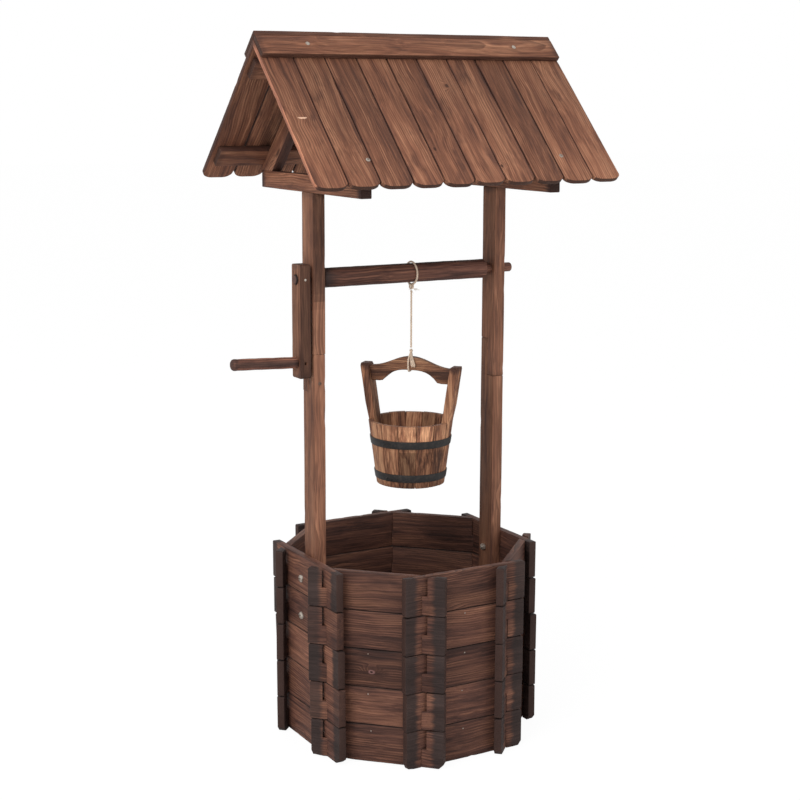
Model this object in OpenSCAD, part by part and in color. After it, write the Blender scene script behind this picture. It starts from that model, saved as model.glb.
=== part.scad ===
// Wishing well planter: an octagonal log-cabin tub, two spliced posts,
// a plank roof on A-frames, and a windlass with a bucket on a rope.
// X runs along the windlass, -Y is the front, Z is up.
// The origin is on the ground under the middle of the tub.

/* [Tub] */
// Distance across the inside of the tub, flat to flat
tub_inner_w = 352; // [348:2:360]
// Thickness of a wall board
board_t = 12.5; // [11:0.5:13]
// Height of a wall board
board_h = 62; // [60:1:63]
// How far a wall board runs past its corner
tail_len = 36; // [24:1:38]
// Width of the chamfer on the outer edges of a wall board
board_chamfer = 1; // [0.5:0.1:1.5]

/* [Floor] */
// Width of a floor bearer
bearer_w = 30; // [24:1:36]
// Height of a floor bearer
bearer_h = 18; // [15:1:22]
// Distance between the middles of neighbouring bearers
bearer_pitch = 95; // [85:1:100]
// Width of a floor slat
slat_w = 46; // [40:1:48]
// Thickness of a floor slat
slat_t = 12; // [10:1:14]

/* [Posts] */
// Thickness of a post, along the windlass
post_t = 20; // [18:1:22]
// Width of a post, front to back
post_w = 38; // [34:1:40]
// Height of the foot of the lower post above the ground
post_foot_z = 124; // [60:1:150]
// Height of the bottom of the half-lap splice
lap_z = 577; // [560:1:590]
// Length of the half-lap splice
lap_len = 61; // [50:1:70]
// Height of the top of the posts
post_top_z = 888; // [880:1:892]

/* [Roof] */
// Overall height of the well
well_h = 1130; // [1120:1:1140]
// Slope of the roof
roof_pitch = 45; // [44:0.5:47]
// Length of the roof along the ridge
roof_len = 532; // [500:2:560]
// Length of a roof board down the slope
roof_board_len = 296; // [288:1:300]
// Thickness of a roof board
roof_board_t = 8; // [7:0.5:10]
// Radius of the rounded corners at the lower end of a roof board
scallop_r = 9; // [6:1:20]
// Width of a ridge cap board
cap_w = 39; // [36:1:46]
// Thickness of a ridge cap board
cap_t = 9; // [8:0.5:11]
// Height of the tie beam on top of the posts
beam_h = 27; // [24:1:28]
// Length of the tie beam, front to back
beam_len = 340; // [320:2:340]
// Thickness of the tie beams and rafters
truss_t = 18; // [16:1:20]
// Width of a rafter
rafter_w = 30; // [26:1:34]

/* [Windlass] */
// Height of the windlass axis
axle_z = 755.5; // [740:0.5:765]
// Diameter of the windlass axle
axle_d = 31; // [28:1:34]
// Diameter of the round tenons at the ends of the axle
tenon_d = 15; // [13:0.5:16]
// Length of the crank arm
arm_len = 178; // [160:1:180]
// Width of the crank arm
arm_w = 30; // [26:1:32]
// Thickness of the crank arm
arm_t = 18; // [16:1:20]
// Diameter of the hand peg
peg_d = 18.5; // [15:0.5:20]
// Length of the hand peg outside the arm
peg_len = 111; // [90:1:125]
// How far the hand peg is tilted up from square to the arm
peg_tilt = 2.5; // [0:0.5:4]

/* [Bucket] */
// Diameter of the bucket at its rim
rim_d = 138; // [130:1:140]
// Diameter of the bucket at its base
base_d = 111; // [106:1:116]
// Height of the bucket's side
bucket_h = 104.5; // [100:0.5:110]
// Height of the bucket's base above the ground
bucket_z = 412; // [400:1:420]
// Thickness of a stave
stave_t = 8; // [7:0.5:9]
// Number of staves round the bucket, the two uprights among them
stave_count = 14; // [12:2:16]
// Angle between the bow handle and the windlass
bucket_turn = -48; // [-90:1:90]
// Diameter of the rope
rope_d = 4; // [3:0.5:5]
// Place of the rope along the axle
rope_x = 8; // [-20:1:20]

/* [Hidden] */
$fn = 72;
eps = 0.01;
WALL_NAMES = ["wall_right", "wall_back_right", "wall_back", "wall_back_left",
              "wall_left", "wall_front_left", "wall_front", "wall_front_right"];
roof_board_count = 10;
SIDES = ["front", "back"];
function roof_board_name(side, i) = str("roof_board_", SIDES[side], "_", i + 1);

// Colours of the scorched and stained pine, the hoops and the rope
dark_pine = [0.24, 0.13, 0.09];
roof_pine = [0.36, 0.20, 0.13];
post_pine = [0.42, 0.24, 0.15];
bucket_pine = [0.55, 0.31, 0.17];
iron = [0.10, 0.10, 0.11];
steel = [0.68, 0.66, 0.62];
jute = [0.74, 0.66, 0.50];

// Tub, worked out from its driving dimensions
wall_count = 8;
courses = 5;
inner_a = tub_inner_w / 2;
outer_a = inner_a + board_t;
tub_h = courses * board_h;
corner_x = outer_a * tan(180 / wall_count);
board_end_x = corner_x + tail_len;
end_chamfer = 1.5;
foot_chamfer = 8;
course_gap = 0.3;
slot_play = 0.5;
slot_slack = 6;
inner_corner_x = inner_a * tan(180 / wall_count);
slot_w = board_t / sin(360 / wall_count);
slat_count = 7;
slat_pitch = slat_w + 4;
floor_clearance = 2;

// Posts and their splice
post_x = inner_a - post_t / 2;
post_y = 2.5;
post_chamfer = 1.2;

// Roof: the upper faces of the two slopes meet at ridge_z, and the back cap runs
// cap_lap past that line to cover the front cap's edge
cap_lap = cap_t / sin(2 * roof_pitch);
ridge_z = well_h - cap_lap * sin(roof_pitch) - cap_t * cos(roof_pitch);
cap_len = roof_len - 2;
board_pitch = roof_len / roof_board_count;
board_gap = 0.6;
batten_w = 34;
batten_t = 12;
batten_len = roof_len - 16;
ridge_batten_s = 30;
eave_batten_inset = 75;
eave_batten_s = roof_board_len - eave_batten_inset;
beam_top_z = post_top_z + beam_h;

// Windlass
axle_end_play = 0.6;
tenon_play = 0.08;
axle_right_gap = 11;
post_inner_x = post_x - post_t / 2;
axle_left_x = -post_inner_x + axle_end_play;
axle_right_x = post_inner_x - axle_right_gap;
axle_chamfer = 3;
arm_gap = 4;
arm_x = -(inner_a + arm_gap + arm_t / 2);
arm_above = 23.5;
arm_bottom_z = axle_z + arm_above - arm_len;
tenon_left_x = arm_x - arm_t / 2 - 3;
tenon_right_x = inner_a + 20.5;
peg_inset = 24;
peg_z = arm_bottom_z + peg_inset;
peg_tenon_d = 12;
peg_shoulder_gap = 0.6;
peg_round_r = 5;
pin_d = 4;
pin_len = 24;
pin_proud = 0.6;

// Bucket: above the rim the uprights lean a little more than the staves
upright_w = 29;
upright_t = 12;
upright_top_r = 82;
upright_top_z = 606;
upright_flare = 0.22;
upright_flare_h = 30;
upright_corner = 4;
upright_gap = 0.2;
upright_proud = 0.6;
stave_gap_angle = 0.5;
hoop_t = 1.2;
hoop_h = 13;
hoop_low_z = bucket_z + 10;
hoop_high_z = bucket_z + 66;
bucket_floor_z = bucket_z + 7;
bucket_floor_t = 7;
bow_t = 13;
bow_end_top_z = 602.5;
bow_end_low_z = 577.5;
bow_top_z = 619.5;
bow_low_z = 597.5;
bow_top_arch = 66;
bow_low_arch = 47;
bow_low_power = 3.2;
bow_steps = 16;
rim_z = bucket_z + bucket_h;
wall_slope = (rim_d - base_d) / 2 / bucket_h;
upright_lean = (upright_top_r - rim_d / 2) / (upright_top_z - rim_z);

// Rope: a loop that runs on the axle with a knot under it, a straight fall, and a hitch
// on the bow; play keeps the pieces that turn on each other apart
play = 0.3;
knot_r = 5;
loop_r = axle_d / 2 + rope_d / 2 + play;
axle_knot_z = axle_z - loop_r - knot_r - 1;
hitch_top_z = bow_top_z + rope_d;
bow_knot_z = hitch_top_z + knot_r + play;

// Fasteners
bolt_d = 6;
bolt_head_d = 13;
bolt_crown_d = 7;
bolt_head_h = 3.5;
bolt_ys = [9, 4];
bolt_drops = [7, 0];
bolt_proud = 2;
nut_across = 10;
nut_h = 5;
bolt_heights = [tub_h - board_h / 2, tub_h - 3 * board_h / 2];
screw_d = 3.5;
screw_head_d = 7;
screw_crown_d = 5;
screw_head_h = 1.2;
screw_tip_cover = 2;
lap_screw_heights = [lap_z + 15, lap_z + lap_len - 14];
roof_screw_xs = [-165, 174];
roof_screw_s = roof_board_len - 51.5;
cap_nail_xs = [-184, 185];
cap_nail_s = 17.5;

// Octagonal prism standing on z = 0, with flats across the given distance
module octagon_prism(across, height) {
    rotate([0, 0, 180 / wall_count])
        cylinder(d = across / cos(180 / wall_count), h = height, $fn = wall_count);
}

// Wall board: its length lies along X, its inner face is at y = 0 and its outer face at
// y = board_t; low_chamfer cuts the lower corners of its ends. The slots are sawn along
// the board that crosses them; those from above are wider, so that the walls drop in.
module wall_board(slot_on_top, low_chamfer) {
    top = board_h - course_gap;
    low = slot_on_top ? top / 2 : -1;
    high = slot_on_top ? board_h : top / 2;
    slant = 1 / tan(360 / wall_count);
    slot_from = inner_corner_x - slot_play;
    slot_to = inner_corner_x + slot_w + slot_play + (slot_on_top ? slot_slack : 0);
    difference() {
        intersection() {
            rotate([90, 0, 90])
                translate([0, 0, -board_end_x])
                linear_extrude(2 * board_end_x)
                polygon([[0, 0], [board_t - board_chamfer, 0], [board_t, board_chamfer],
                         [board_t, top - board_chamfer], [board_t - board_chamfer, top],
                         [0, top]]);
            translate([0, board_t + 1, 0])
                rotate([90, 0, 0])
                linear_extrude(board_t + 2)
                polygon([[-board_end_x, low_chamfer], [-board_end_x + low_chamfer, 0],
                         [board_end_x - low_chamfer, 0], [board_end_x, low_chamfer],
                         [board_end_x, top - end_chamfer], [board_end_x - end_chamfer, top],
                         [-board_end_x + end_chamfer, top], [-board_end_x, top - end_chamfer]]);
        }
        for (side = [0, 1])
            mirror([side, 0, 0])
            translate([0, 0, low])
            linear_extrude(high - low)
            polygon([[slot_from + slant, -1], [slot_to + slant, -1],
                     [slot_to - (board_t + 1) * slant, board_t + 1],
                     [slot_from - (board_t + 1) * slant, board_t + 1]]);
    }
}

// One wall: five boards on edge, slotted so that they cross the next walls' boards
module wall(i) {
    color(dark_pine)
    difference() {
        rotate([0, 0, i * 360 / wall_count - 90])
            translate([0, inner_a, 0])
            for (course = [0 : courses - 1])
                translate([0, 0, course * board_h])
                wall_board(i % 2 == 1, course == 0 ? foot_chamfer : end_chamfer);
        if (i % (wall_count / 2) == 0) bolt_shanks();
    }
}

module floor_bearers() {
    color(dark_pine)
    intersection() {
        octagon_prism(tub_inner_w, bearer_h);
        for (k = [-1 : 1])
            translate([k * bearer_pitch - bearer_w / 2, -inner_a, 0])
            cube([bearer_w, tub_inner_w, bearer_h]);
    }
}

module floor_slats() {
    color(dark_pine)
    translate([0, 0, bearer_h])
    intersection() {
        octagon_prism(tub_inner_w - 2 * floor_clearance, slat_t);
        for (k = [0 : slat_count - 1])
            translate([-inner_a, (k - (slat_count - 1) / 2) * slat_pitch - slat_w / 2, 0])
            cube([tub_inner_w, slat_w, slat_t]);
    }
}

// Square timber with chamfered edges, standing between two heights on the left post's line
module post_timber(low_z, high_z) {
    hx = post_t / 2;
    hy = post_w / 2;
    c = post_chamfer;
    translate([-post_x, 0, low_z])
        linear_extrude(high_z - low_z)
        polygon([[-hx + c, -hy], [hx - c, -hy], [hx, -hy + c], [hx, hy - c],
                 [hx - c, hy], [-hx + c, hy], [-hx, hy - c], [-hx, -hy + c]]);
}

// Space behind or in front of the splice's middle plane, from lap_z up
module lap_half(behind) {
    translate([-post_x - post_t, behind ? 0 : -post_w, lap_z])
        cube([2 * post_t, post_w, lap_len]);
}

// The right posts are the left ones turned round, so their splice faces the other way;
// both stand post_y behind the windlass axis
module post_place(side) {
    translate([0, post_y, 0]) rotate([0, 0, side == 0 ? 0 : 180]) children();
}

module lower_post(side) {
    color(post_pine)
    difference() {
        post_place(side) difference() {
            post_timber(post_foot_z, lap_z + lap_len);
            lap_half(true);
        }
        bolt_shanks();
        lap_screws();
    }
}

module upper_post(side) {
    color(post_pine)
    difference() {
        post_place(side) difference() {
            post_timber(lap_z, post_top_z);
            lap_half(false);
        }
        translate([0, 0, axle_z]) bar(-inner_a - 1, inner_a + 1, tenon_d + 2 * tenon_play);
        lap_screws();
    }
}

// Truss parts lie in the plane of the posts
module on_truss(side) {
    translate([(side == 0 ? -1 : 1) * post_x - truss_t / 2, 0, 0]) children();
}

module tie_beam(side) {
    color(roof_pine)
    on_truss(side)
        translate([0, -beam_len / 2, post_top_z]) cube([truss_t, beam_len, beam_h]);
}

// A point on a roof slope, as [outward from the ridge, height], from its distance s
// down the slope and its height d above the boards
function on_slope(s, d) = [s * cos(roof_pitch) + d * sin(roof_pitch),
                           ridge_z - s * sin(roof_pitch) + d * cos(roof_pitch)];
// Height of a plane parallel to the slope, d above the boards, at the ridge
function apex_z(d) = ridge_z + d / cos(roof_pitch);
// How far out the same plane reaches at a given height
function reach(d, z) = (apex_z(d) - z) / tan(roof_pitch);

// Draws a profile of [outward, height] points along X on the front or the back slope
module along_ridge(side, length, points) {
    mirror([0, side == 0 ? 1 : 0, 0])
        translate([-length / 2, 0, 0])
        rotate([90, 0, 90])
        linear_extrude(length)
        polygon(points);
}

module rafter(post, side) {
    top = -roof_board_t - batten_t;
    bottom = top - rafter_w;
    color(roof_pine)
    translate([(post == 0 ? -1 : 1) * post_x, 0, 0])
        along_ridge(side, truss_t,
                    [[0, apex_z(top)], [reach(top, beam_top_z), beam_top_z],
                     [reach(bottom, beam_top_z), beam_top_z], [0, apex_z(bottom)]]);
}

// Four equal battens under the boards: one near the ridge and one near the eave of each slope
module roof_battens() {
    color(roof_pine)
    difference() {
        for (side = [0, 1]) for (s = [ridge_batten_s, eave_batten_s])
            along_ridge(side, batten_len,
                        [on_slope(s, -roof_board_t), on_slope(s + batten_w, -roof_board_t),
                         on_slope(s + batten_w, -roof_board_t - batten_t),
                         on_slope(s, -roof_board_t - batten_t)]);
        roof_screws();
    }
}

// Outline of a roof board in its own plane: y runs down the slope, the lower corners are round
module roof_board_outline(width) {
    translate([-width / 2, 0]) square([width, roof_board_len - scallop_r]);
    translate([-width / 2 + scallop_r, 0]) square([width - 2 * scallop_r, roof_board_len]);
    for (end = [-1, 1])
        translate([end * (width / 2 - scallop_r), roof_board_len - scallop_r])
        circle(r = scallop_r);
}

module roof_board(side, i) {
    x = (i - (roof_board_count - 1) / 2) * board_pitch;
    color(roof_pine)
    difference() {
        mirror([0, side, 0])
            translate([x, 0, ridge_z])
            rotate([180 + roof_pitch, 0, 0])
            linear_extrude(roof_board_t)
            roof_board_outline(board_pitch - board_gap);
        translate([-roof_len, side == 0 ? 0 : -roof_len, ridge_z - roof_board_len])
            cube([2 * roof_len, roof_len, 2 * roof_board_len]);
        roof_screws();
        cap_nails();
    }
}

// The back cap's upper edge covers the front cap's
module ridge_cap(side) {
    s_top = side == 1 ? -cap_lap : cap_lap - cap_t * tan(roof_pitch);
    s_under = side == 1 ? -cap_lap : 0;
    color(roof_pine)
    difference() {
        along_ridge(side, cap_len,
                    [on_slope(s_top, cap_t), on_slope(cap_w, cap_t),
                     on_slope(cap_w, 0), on_slope(s_under, 0)]);
        cap_nails();
    }
}

// Round bar along X between two places
module bar(x1, x2, d) {
    translate([x1, 0, 0]) rotate([0, 90, 0]) cylinder(d = d, h = x2 - x1);
}

module axle() {
    color(dark_pine)
    difference() {
        translate([0, 0, axle_z]) {
            bar(axle_left_x + axle_chamfer, axle_right_x - axle_chamfer, axle_d);
            for (end = [[axle_left_x + axle_chamfer, -90], [axle_right_x - axle_chamfer, 90]])
                translate([end[0], 0, 0])
                rotate([0, end[1], 0])
                cylinder(d1 = axle_d, d2 = axle_d - 2 * axle_chamfer, h = axle_chamfer);
            bar(tenon_left_x, tenon_right_x, tenon_d);
        }
        crank_pin_solids();
    }
}

// Squared arm with eased ends, bored for the axle's tenon and the peg's
module crank_arm() {
    ease = 2;
    color(dark_pine)
    difference() {
        translate([arm_x - arm_t / 2, 0, 0])
            rotate([90, 0, 90])
            linear_extrude(arm_t)
            polygon([[-arm_w / 2, arm_bottom_z + ease], [-arm_w / 2 + ease, arm_bottom_z],
                     [arm_w / 2 - ease, arm_bottom_z], [arm_w / 2, arm_bottom_z + ease],
                     [arm_w / 2, axle_z + arm_above - ease],
                     [arm_w / 2 - ease, axle_z + arm_above],
                     [-arm_w / 2 + ease, axle_z + arm_above],
                     [-arm_w / 2, axle_z + arm_above - ease]]);
        translate([0, 0, axle_z]) bar(arm_x - arm_t, arm_x + arm_t, tenon_d);
        on_peg_line() cylinder(d = peg_tenon_d, h = 2 * arm_t, center = true);
        crank_pin_solids();
    }
}

// Draws round solids about the peg's axis: z = 0 is in the middle of the arm, +z is outwards
module on_peg_line() {
    translate([arm_x, 0, peg_z]) rotate([0, -90 + peg_tilt, 0]) children();
}

// Hand peg with a rounded outer end and a tenon in the arm
module crank_peg() {
    shoulder = arm_t / 2 + peg_shoulder_gap;
    end_z = arm_t / 2 + peg_len;
    color(dark_pine)
    difference() {
        on_peg_line() {
            rotate_extrude() {
                translate([0, shoulder]) square([peg_d / 2, end_z - peg_round_r - shoulder]);
                translate([0, shoulder]) square([peg_d / 2 - peg_round_r, end_z - shoulder]);
                intersection() {
                    translate([peg_d / 2 - peg_round_r, end_z - peg_round_r])
                        circle(r = peg_round_r);
                    square([peg_d, end_z + 1]);
                }
            }
            translate([0, 0, -arm_t / 2])
                cylinder(d = peg_tenon_d, h = arm_t / 2 + shoulder + eps);
        }
        crank_pin_solids();
    }
}

// Round pins through the arm that lock the axle's tenon and the peg's
module crank_pin_solids() {
    for (z = [axle_z, peg_z])
        translate([arm_x, -arm_w / 2 - pin_proud, z])
        rotate([-90, 0, 0])
        cylinder(d = pin_d, h = pin_len);
}

module crank_pins() {
    color(steel) crank_pin_solids();
}

module rope_loop() {
    color(jute)
    translate([rope_x, 0, 0]) {
        translate([0, 0, axle_z])
            rotate([0, 90, 0])
            rotate_extrude()
            translate([loop_r, 0])
            circle(d = rope_d, $fn = 24);
        translate([0, 0, axle_knot_z]) sphere(r = knot_r, $fn = 32);
    }
}

module rope_line() {
    color(jute)
    translate([rope_x, 0, bow_knot_z + knot_r])
        cylinder(d = rope_d, h = axle_knot_z - bow_knot_z - 2 * knot_r, $fn = 24);
}

module rope_knot() {
    color(jute)
    translate([rope_x, 0, bow_knot_z]) sphere(r = knot_r, $fn = 32);
}

// Everything on the bucket is drawn about its own axis with the bow along X, then turned
module bucket_place() {
    translate([rope_x, 0, 0]) rotate([0, 0, bucket_turn]) children();
}

// Rope passed once round the middle of the bow: four straight runs with round corners
module rope_hitch() {
    y = bow_t / 2 + rope_d / 2;
    low = bow_low_z - rope_d / 2;
    high = bow_top_z + rope_d / 2;
    color(jute)
    bucket_place() {
        for (z = [low, high])
            translate([0, -y, z]) rotate([-90, 0, 0]) cylinder(d = rope_d, h = 2 * y, $fn = 24);
        for (end = [-1, 1]) {
            translate([0, end * y, low]) cylinder(d = rope_d, h = high - low, $fn = 24);
            for (z = [low, high]) translate([0, end * y, z]) sphere(d = rope_d, $fn = 24);
        }
    }
}

// Tapered tube between two heights, measured on the bucket's wall
module bucket_shell(low_z, high_z, outer, inner) {
    r_low = base_d / 2 + (low_z - bucket_z) * wall_slope;
    r_high = base_d / 2 + (high_z - bucket_z) * wall_slope;
    difference() {
        translate([0, 0, low_z])
            cylinder(r1 = r_low + outer, r2 = r_high + outer, h = high_z - low_z);
        translate([0, 0, low_z - 1])
            cylinder(r1 = r_low + inner - wall_slope, r2 = r_high + inner + wall_slope,
                     h = high_z - low_z + 2);
    }
}

// Flat board on one side of the bucket: it leans as the staves do up to the rim, and more
// above it, and its outer face is a little proud of the staves
module upright_board(side, w = upright_w) {
    outer = [[base_d / 2, bucket_z], [rim_d / 2, rim_z], [upright_top_r, upright_top_z]];
    mirror([1 - side, 0, 0])
        translate([0, w / 2, 0])
        rotate([90, 0, 0])
        linear_extrude(w)
        polygon(concat([for (p = outer) [p[0] + upright_proud, p[1]]],
                       [for (k = [2 : -1 : 0]) [outer[k][0] - upright_t, outer[k][1]]]));
}

// Upright: flush with the staves up to the rim, where its rounded face runs out into a
// flat one, with its top corners cut
module upright(side) {
    half_w = upright_w / 2;
    c = upright_corner;
    color(bucket_pine)
    bucket_place()
        difference() {
            intersection() {
                upright_board(side, upright_w + 1);
                translate([-rim_d, 0, 0])
                    rotate([90, 0, 90])
                    linear_extrude(2 * rim_d)
                    polygon([[-half_w, bucket_z - 1], [half_w, bucket_z - 1],
                             [half_w, upright_top_z - c], [half_w - c, upright_top_z + eps],
                             [-half_w + c, upright_top_z + eps], [-half_w, upright_top_z - c]]);
            }
            bucket_shell(bucket_z - 1, rim_z, rim_d / 2, 0);
            difference() {
                translate([0, 0, rim_z - eps]) cylinder(r = rim_d, h = upright_flare_h);
                translate([0, 0, rim_z - 1])
                    cylinder(r1 = rim_d / 2 - upright_flare,
                             r2 = rim_d / 2 + upright_flare * (upright_flare_h + 1),
                             h = upright_flare_h + 2);
            }
        }
}

// The staves between the two uprights, each a sector of the tapered shell
module bucket_staves() {
    step = 360 / stave_count;
    color(bucket_pine)
    bucket_place()
        difference() {
            for (k = [1 : stave_count - 1])
                if (k != stave_count / 2)
                    intersection() {
                        bucket_shell(bucket_z, rim_z, 0, -stave_t);
                        rotate([0, 0, (k - 0.5) * step + stave_gap_angle / 2])
                            rotate_extrude(angle = step - stave_gap_angle)
                            translate([base_d / 4, bucket_z - 1])
                            square([rim_d / 2, bucket_h + 2]);
                    }
            for (side = [0, 1]) upright_board(side, upright_w + 2 * upright_gap);
        }
}

module bucket_floor() {
    r_low = base_d / 2 - stave_t + (bucket_floor_z - bucket_z) * wall_slope;
    color(bucket_pine)
    bucket_place()
        difference() {
            translate([0, 0, bucket_floor_z])
                cylinder(r1 = r_low, r2 = r_low + bucket_floor_t * wall_slope,
                         h = bucket_floor_t);
            for (side = [0, 1]) upright_board(side);
        }
}

module bucket_hoop(z) {
    color(iron)
    bucket_place()
        bucket_shell(z, z + hoop_h, hoop_t, 0);
}

// Half the length of the bow at a given height, between the uprights' inner faces
function bow_half(z) = rim_d / 2 - upright_t + upright_lean * (z - rim_z);
// Shapes of the bow's upper and lower arch, from 1 in the middle to 0 at v = 1 and beyond
function crown(v) = abs(v) >= 1 ? 0 : (1 + cos(180 * v)) / 2;
function vault(v) = abs(v) >= 1 ? 0 : 1 - pow(abs(v), bow_low_power);
// Points along the bow's two edges; u runs from -1 to 1
function bow_top(u) =
    let (x = u * bow_half(bow_end_top_z))
    [x, bow_end_top_z + (bow_top_z - bow_end_top_z) * crown(x / bow_top_arch)];
function bow_low(u) =
    let (x = u * bow_half(bow_end_low_z))
    [x, bow_end_low_z + (bow_low_z - bow_end_low_z) * vault(x / bow_low_arch)];

// Bow with an arched middle, let in between the uprights
module bucket_bow_handle() {
    color(bucket_pine)
    bucket_place()
        translate([0, bow_t / 2, 0])
        rotate([90, 0, 0])
        linear_extrude(bow_t)
        polygon(concat([for (k = [-bow_steps : bow_steps]) bow_top(k / bow_steps)],
                       [for (k = [-bow_steps : bow_steps]) bow_low(-k / bow_steps)]));
}

// Places something on the line of each bolt, drawn for the left side
module at_bolts() {
    for (side = [0, 1]) for (z = bolt_heights)
        mirror([side, 0, 0])
        translate([0, bolt_ys[side], z - bolt_drops[side]])
        children();
}

// Bolts through the top two boards of the left and right walls into the lower posts
module bolt_shanks() {
    at_bolts() bar(-outer_a - eps, -inner_a + post_t + nut_h + bolt_proud, bolt_d);
}

module post_bolts() {
    color(steel) {
        bolt_shanks();
        at_bolts() {
            translate([-outer_a, 0, 0])
                rotate([0, -90, 0])
                cylinder(d1 = bolt_head_d, d2 = bolt_crown_d, h = bolt_head_h);
            translate([-inner_a + post_t, 0, 0])
                rotate([0, 90, 0])
                cylinder(d = nut_across / cos(30), h = nut_h, $fn = 6);
        }
    }
}

// Screw with its head on z = 0 and its shank going down
module screw(length) {
    translate([0, 0, -length]) cylinder(d = screw_d, h = length);
    translate([0, 0, -eps])
        cylinder(d1 = screw_head_d, d2 = screw_crown_d, h = screw_head_h);
}

// Each splice has two screws; only the left one's lower screw goes in from the front
module lap_screws() {
    for (side = [-1, 1]) for (z = lap_screw_heights) {
        from = side == -1 && z == lap_screw_heights[0] ? -1 : 1;
        translate([side * post_x, post_y + from * post_w / 2, z])
            rotate([-from * 90, 0, 0])
            screw(post_w - screw_tip_cover);
    }
}

// Screws on a slope: x along the ridge, s down the slope, d above the boards
module slope_screws(xs, s, d, length) {
    for (turn = [0, 180]) for (x = xs)
        rotate([0, 0, turn])
        translate([x, -on_slope(s, d)[0], on_slope(s, d)[1]])
        rotate([roof_pitch, 0, 0])
        screw(length);
}

module roof_screws() {
    slope_screws(roof_screw_xs, roof_screw_s, 0, roof_board_t + batten_t - screw_tip_cover);
}

module cap_nails() {
    slope_screws(cap_nail_xs, cap_nail_s, cap_t, cap_t + roof_board_t - screw_tip_cover);
}

module wood_screws() {
    color(steel) {
        lap_screws();
        roof_screws();
        cap_nails();
    }
}

for (i = [0 : wall_count - 1]) wall(i);
floor_bearers();
floor_slats();
lower_post(0);  // lower_post_left
lower_post(1);  // lower_post_right
upper_post(0);  // upper_post_left
upper_post(1);  // upper_post_right
tie_beam(0);  // tie_beam_left
tie_beam(1);  // tie_beam_right
rafter(0, 0);  // rafter_left_front
rafter(0, 1);  // rafter_left_back
rafter(1, 0);  // rafter_right_front
rafter(1, 1);  // rafter_right_back
roof_battens();
ridge_cap(0);  // ridge_cap_front
ridge_cap(1);  // ridge_cap_back
for (side = [0, 1]) for (i = [0 : roof_board_count - 1])
    roof_board(side, i);
axle();
crank_arm();
crank_peg();
crank_pins();
rope_loop();
rope_line();
rope_knot();
rope_hitch();
bucket_staves();
bucket_floor();
bucket_hoop(hoop_high_z);  // bucket_hoop_upper
bucket_hoop(hoop_low_z);  // bucket_hoop_lower
upright(0);  // bucket_upright_left
upright(1);  // bucket_upright_right
bucket_bow_handle();
post_bolts();
wood_screws();
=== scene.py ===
import math
import random
from contextlib import contextmanager

import bpy
from mathutils import Matrix, Vector, noise


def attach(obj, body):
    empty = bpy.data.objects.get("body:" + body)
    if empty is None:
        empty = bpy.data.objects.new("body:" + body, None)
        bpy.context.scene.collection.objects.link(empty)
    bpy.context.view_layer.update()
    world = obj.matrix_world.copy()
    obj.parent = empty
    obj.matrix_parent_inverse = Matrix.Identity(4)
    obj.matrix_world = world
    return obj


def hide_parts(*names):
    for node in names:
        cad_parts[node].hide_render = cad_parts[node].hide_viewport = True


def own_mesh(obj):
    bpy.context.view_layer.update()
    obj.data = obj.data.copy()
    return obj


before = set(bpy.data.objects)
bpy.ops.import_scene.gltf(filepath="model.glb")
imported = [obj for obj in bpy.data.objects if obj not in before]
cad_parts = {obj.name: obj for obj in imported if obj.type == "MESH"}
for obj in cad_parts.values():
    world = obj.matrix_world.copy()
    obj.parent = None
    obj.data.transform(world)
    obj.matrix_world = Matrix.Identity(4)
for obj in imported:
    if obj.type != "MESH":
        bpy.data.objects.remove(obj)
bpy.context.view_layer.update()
print("frame loaded")
noise.seed_set(7)      # unset, wander would give other shapes at each run

# lengths below are in millimetres, and at() turns them into Blender's metres
mm = 0.001
axisX = Vector((1, 0, 0))
axisZ = Vector((0, 0, 1))


def at(x, y, z):
    return Vector((x, y, z)) * mm


def moved(x, y, z):
    return Matrix.Translation(at(x, y, z))


def turned(angle, axis):
    return Matrix.Rotation(math.radians(angle), 4, axis)


def newObject(name, data):
    obj = bpy.data.objects.new(name, data)
    bpy.context.scene.collection.objects.link(obj)
    return obj


def deselectAll():
    if bpy.context.mode != "OBJECT":
        bpy.ops.object.mode_set(mode="OBJECT")
    bpy.ops.object.select_all(action="DESELECT")


def selectOnly(obj):
    deselectAll()
    obj.select_set(True)
    bpy.context.view_layer.objects.active = obj
    return obj


@contextmanager
def editing(obj):
    # edit mode with all of the piece selected, and back again
    selectOnly(obj)
    bpy.ops.object.mode_set(mode="EDIT")
    bpy.ops.mesh.select_all(action="SELECT")
    yield
    bpy.ops.object.mode_set(mode="OBJECT")


def applyModifiers(obj):
    selectOnly(obj)
    for modifier in list(obj.modifiers):
        bpy.ops.object.modifier_apply(modifier=modifier.name)
    return obj


def settle(obj):
    # puts the object's place into its mesh
    selectOnly(obj)
    bpy.ops.object.transform_apply(location=True, rotation=True, scale=True)
    return obj


def addBox(low, high):
    deselectAll()
    low, high = at(*low), at(*high)
    bpy.ops.mesh.primitive_cube_add(size=1, location=(low + high) / 2, scale=high - low)
    return settle(bpy.context.object)


def addRod(start, end, radius, sides):
    deselectAll()
    start, end = at(*start), at(*end)
    turn = (end - start).to_track_quat("Z", "Y").to_euler()
    bpy.ops.mesh.primitive_cylinder_add(vertices=sides, radius=radius * mm,
                                        depth=(end - start).length,
                                        location=(start + end) / 2, rotation=turn)
    return settle(bpy.context.object)


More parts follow.
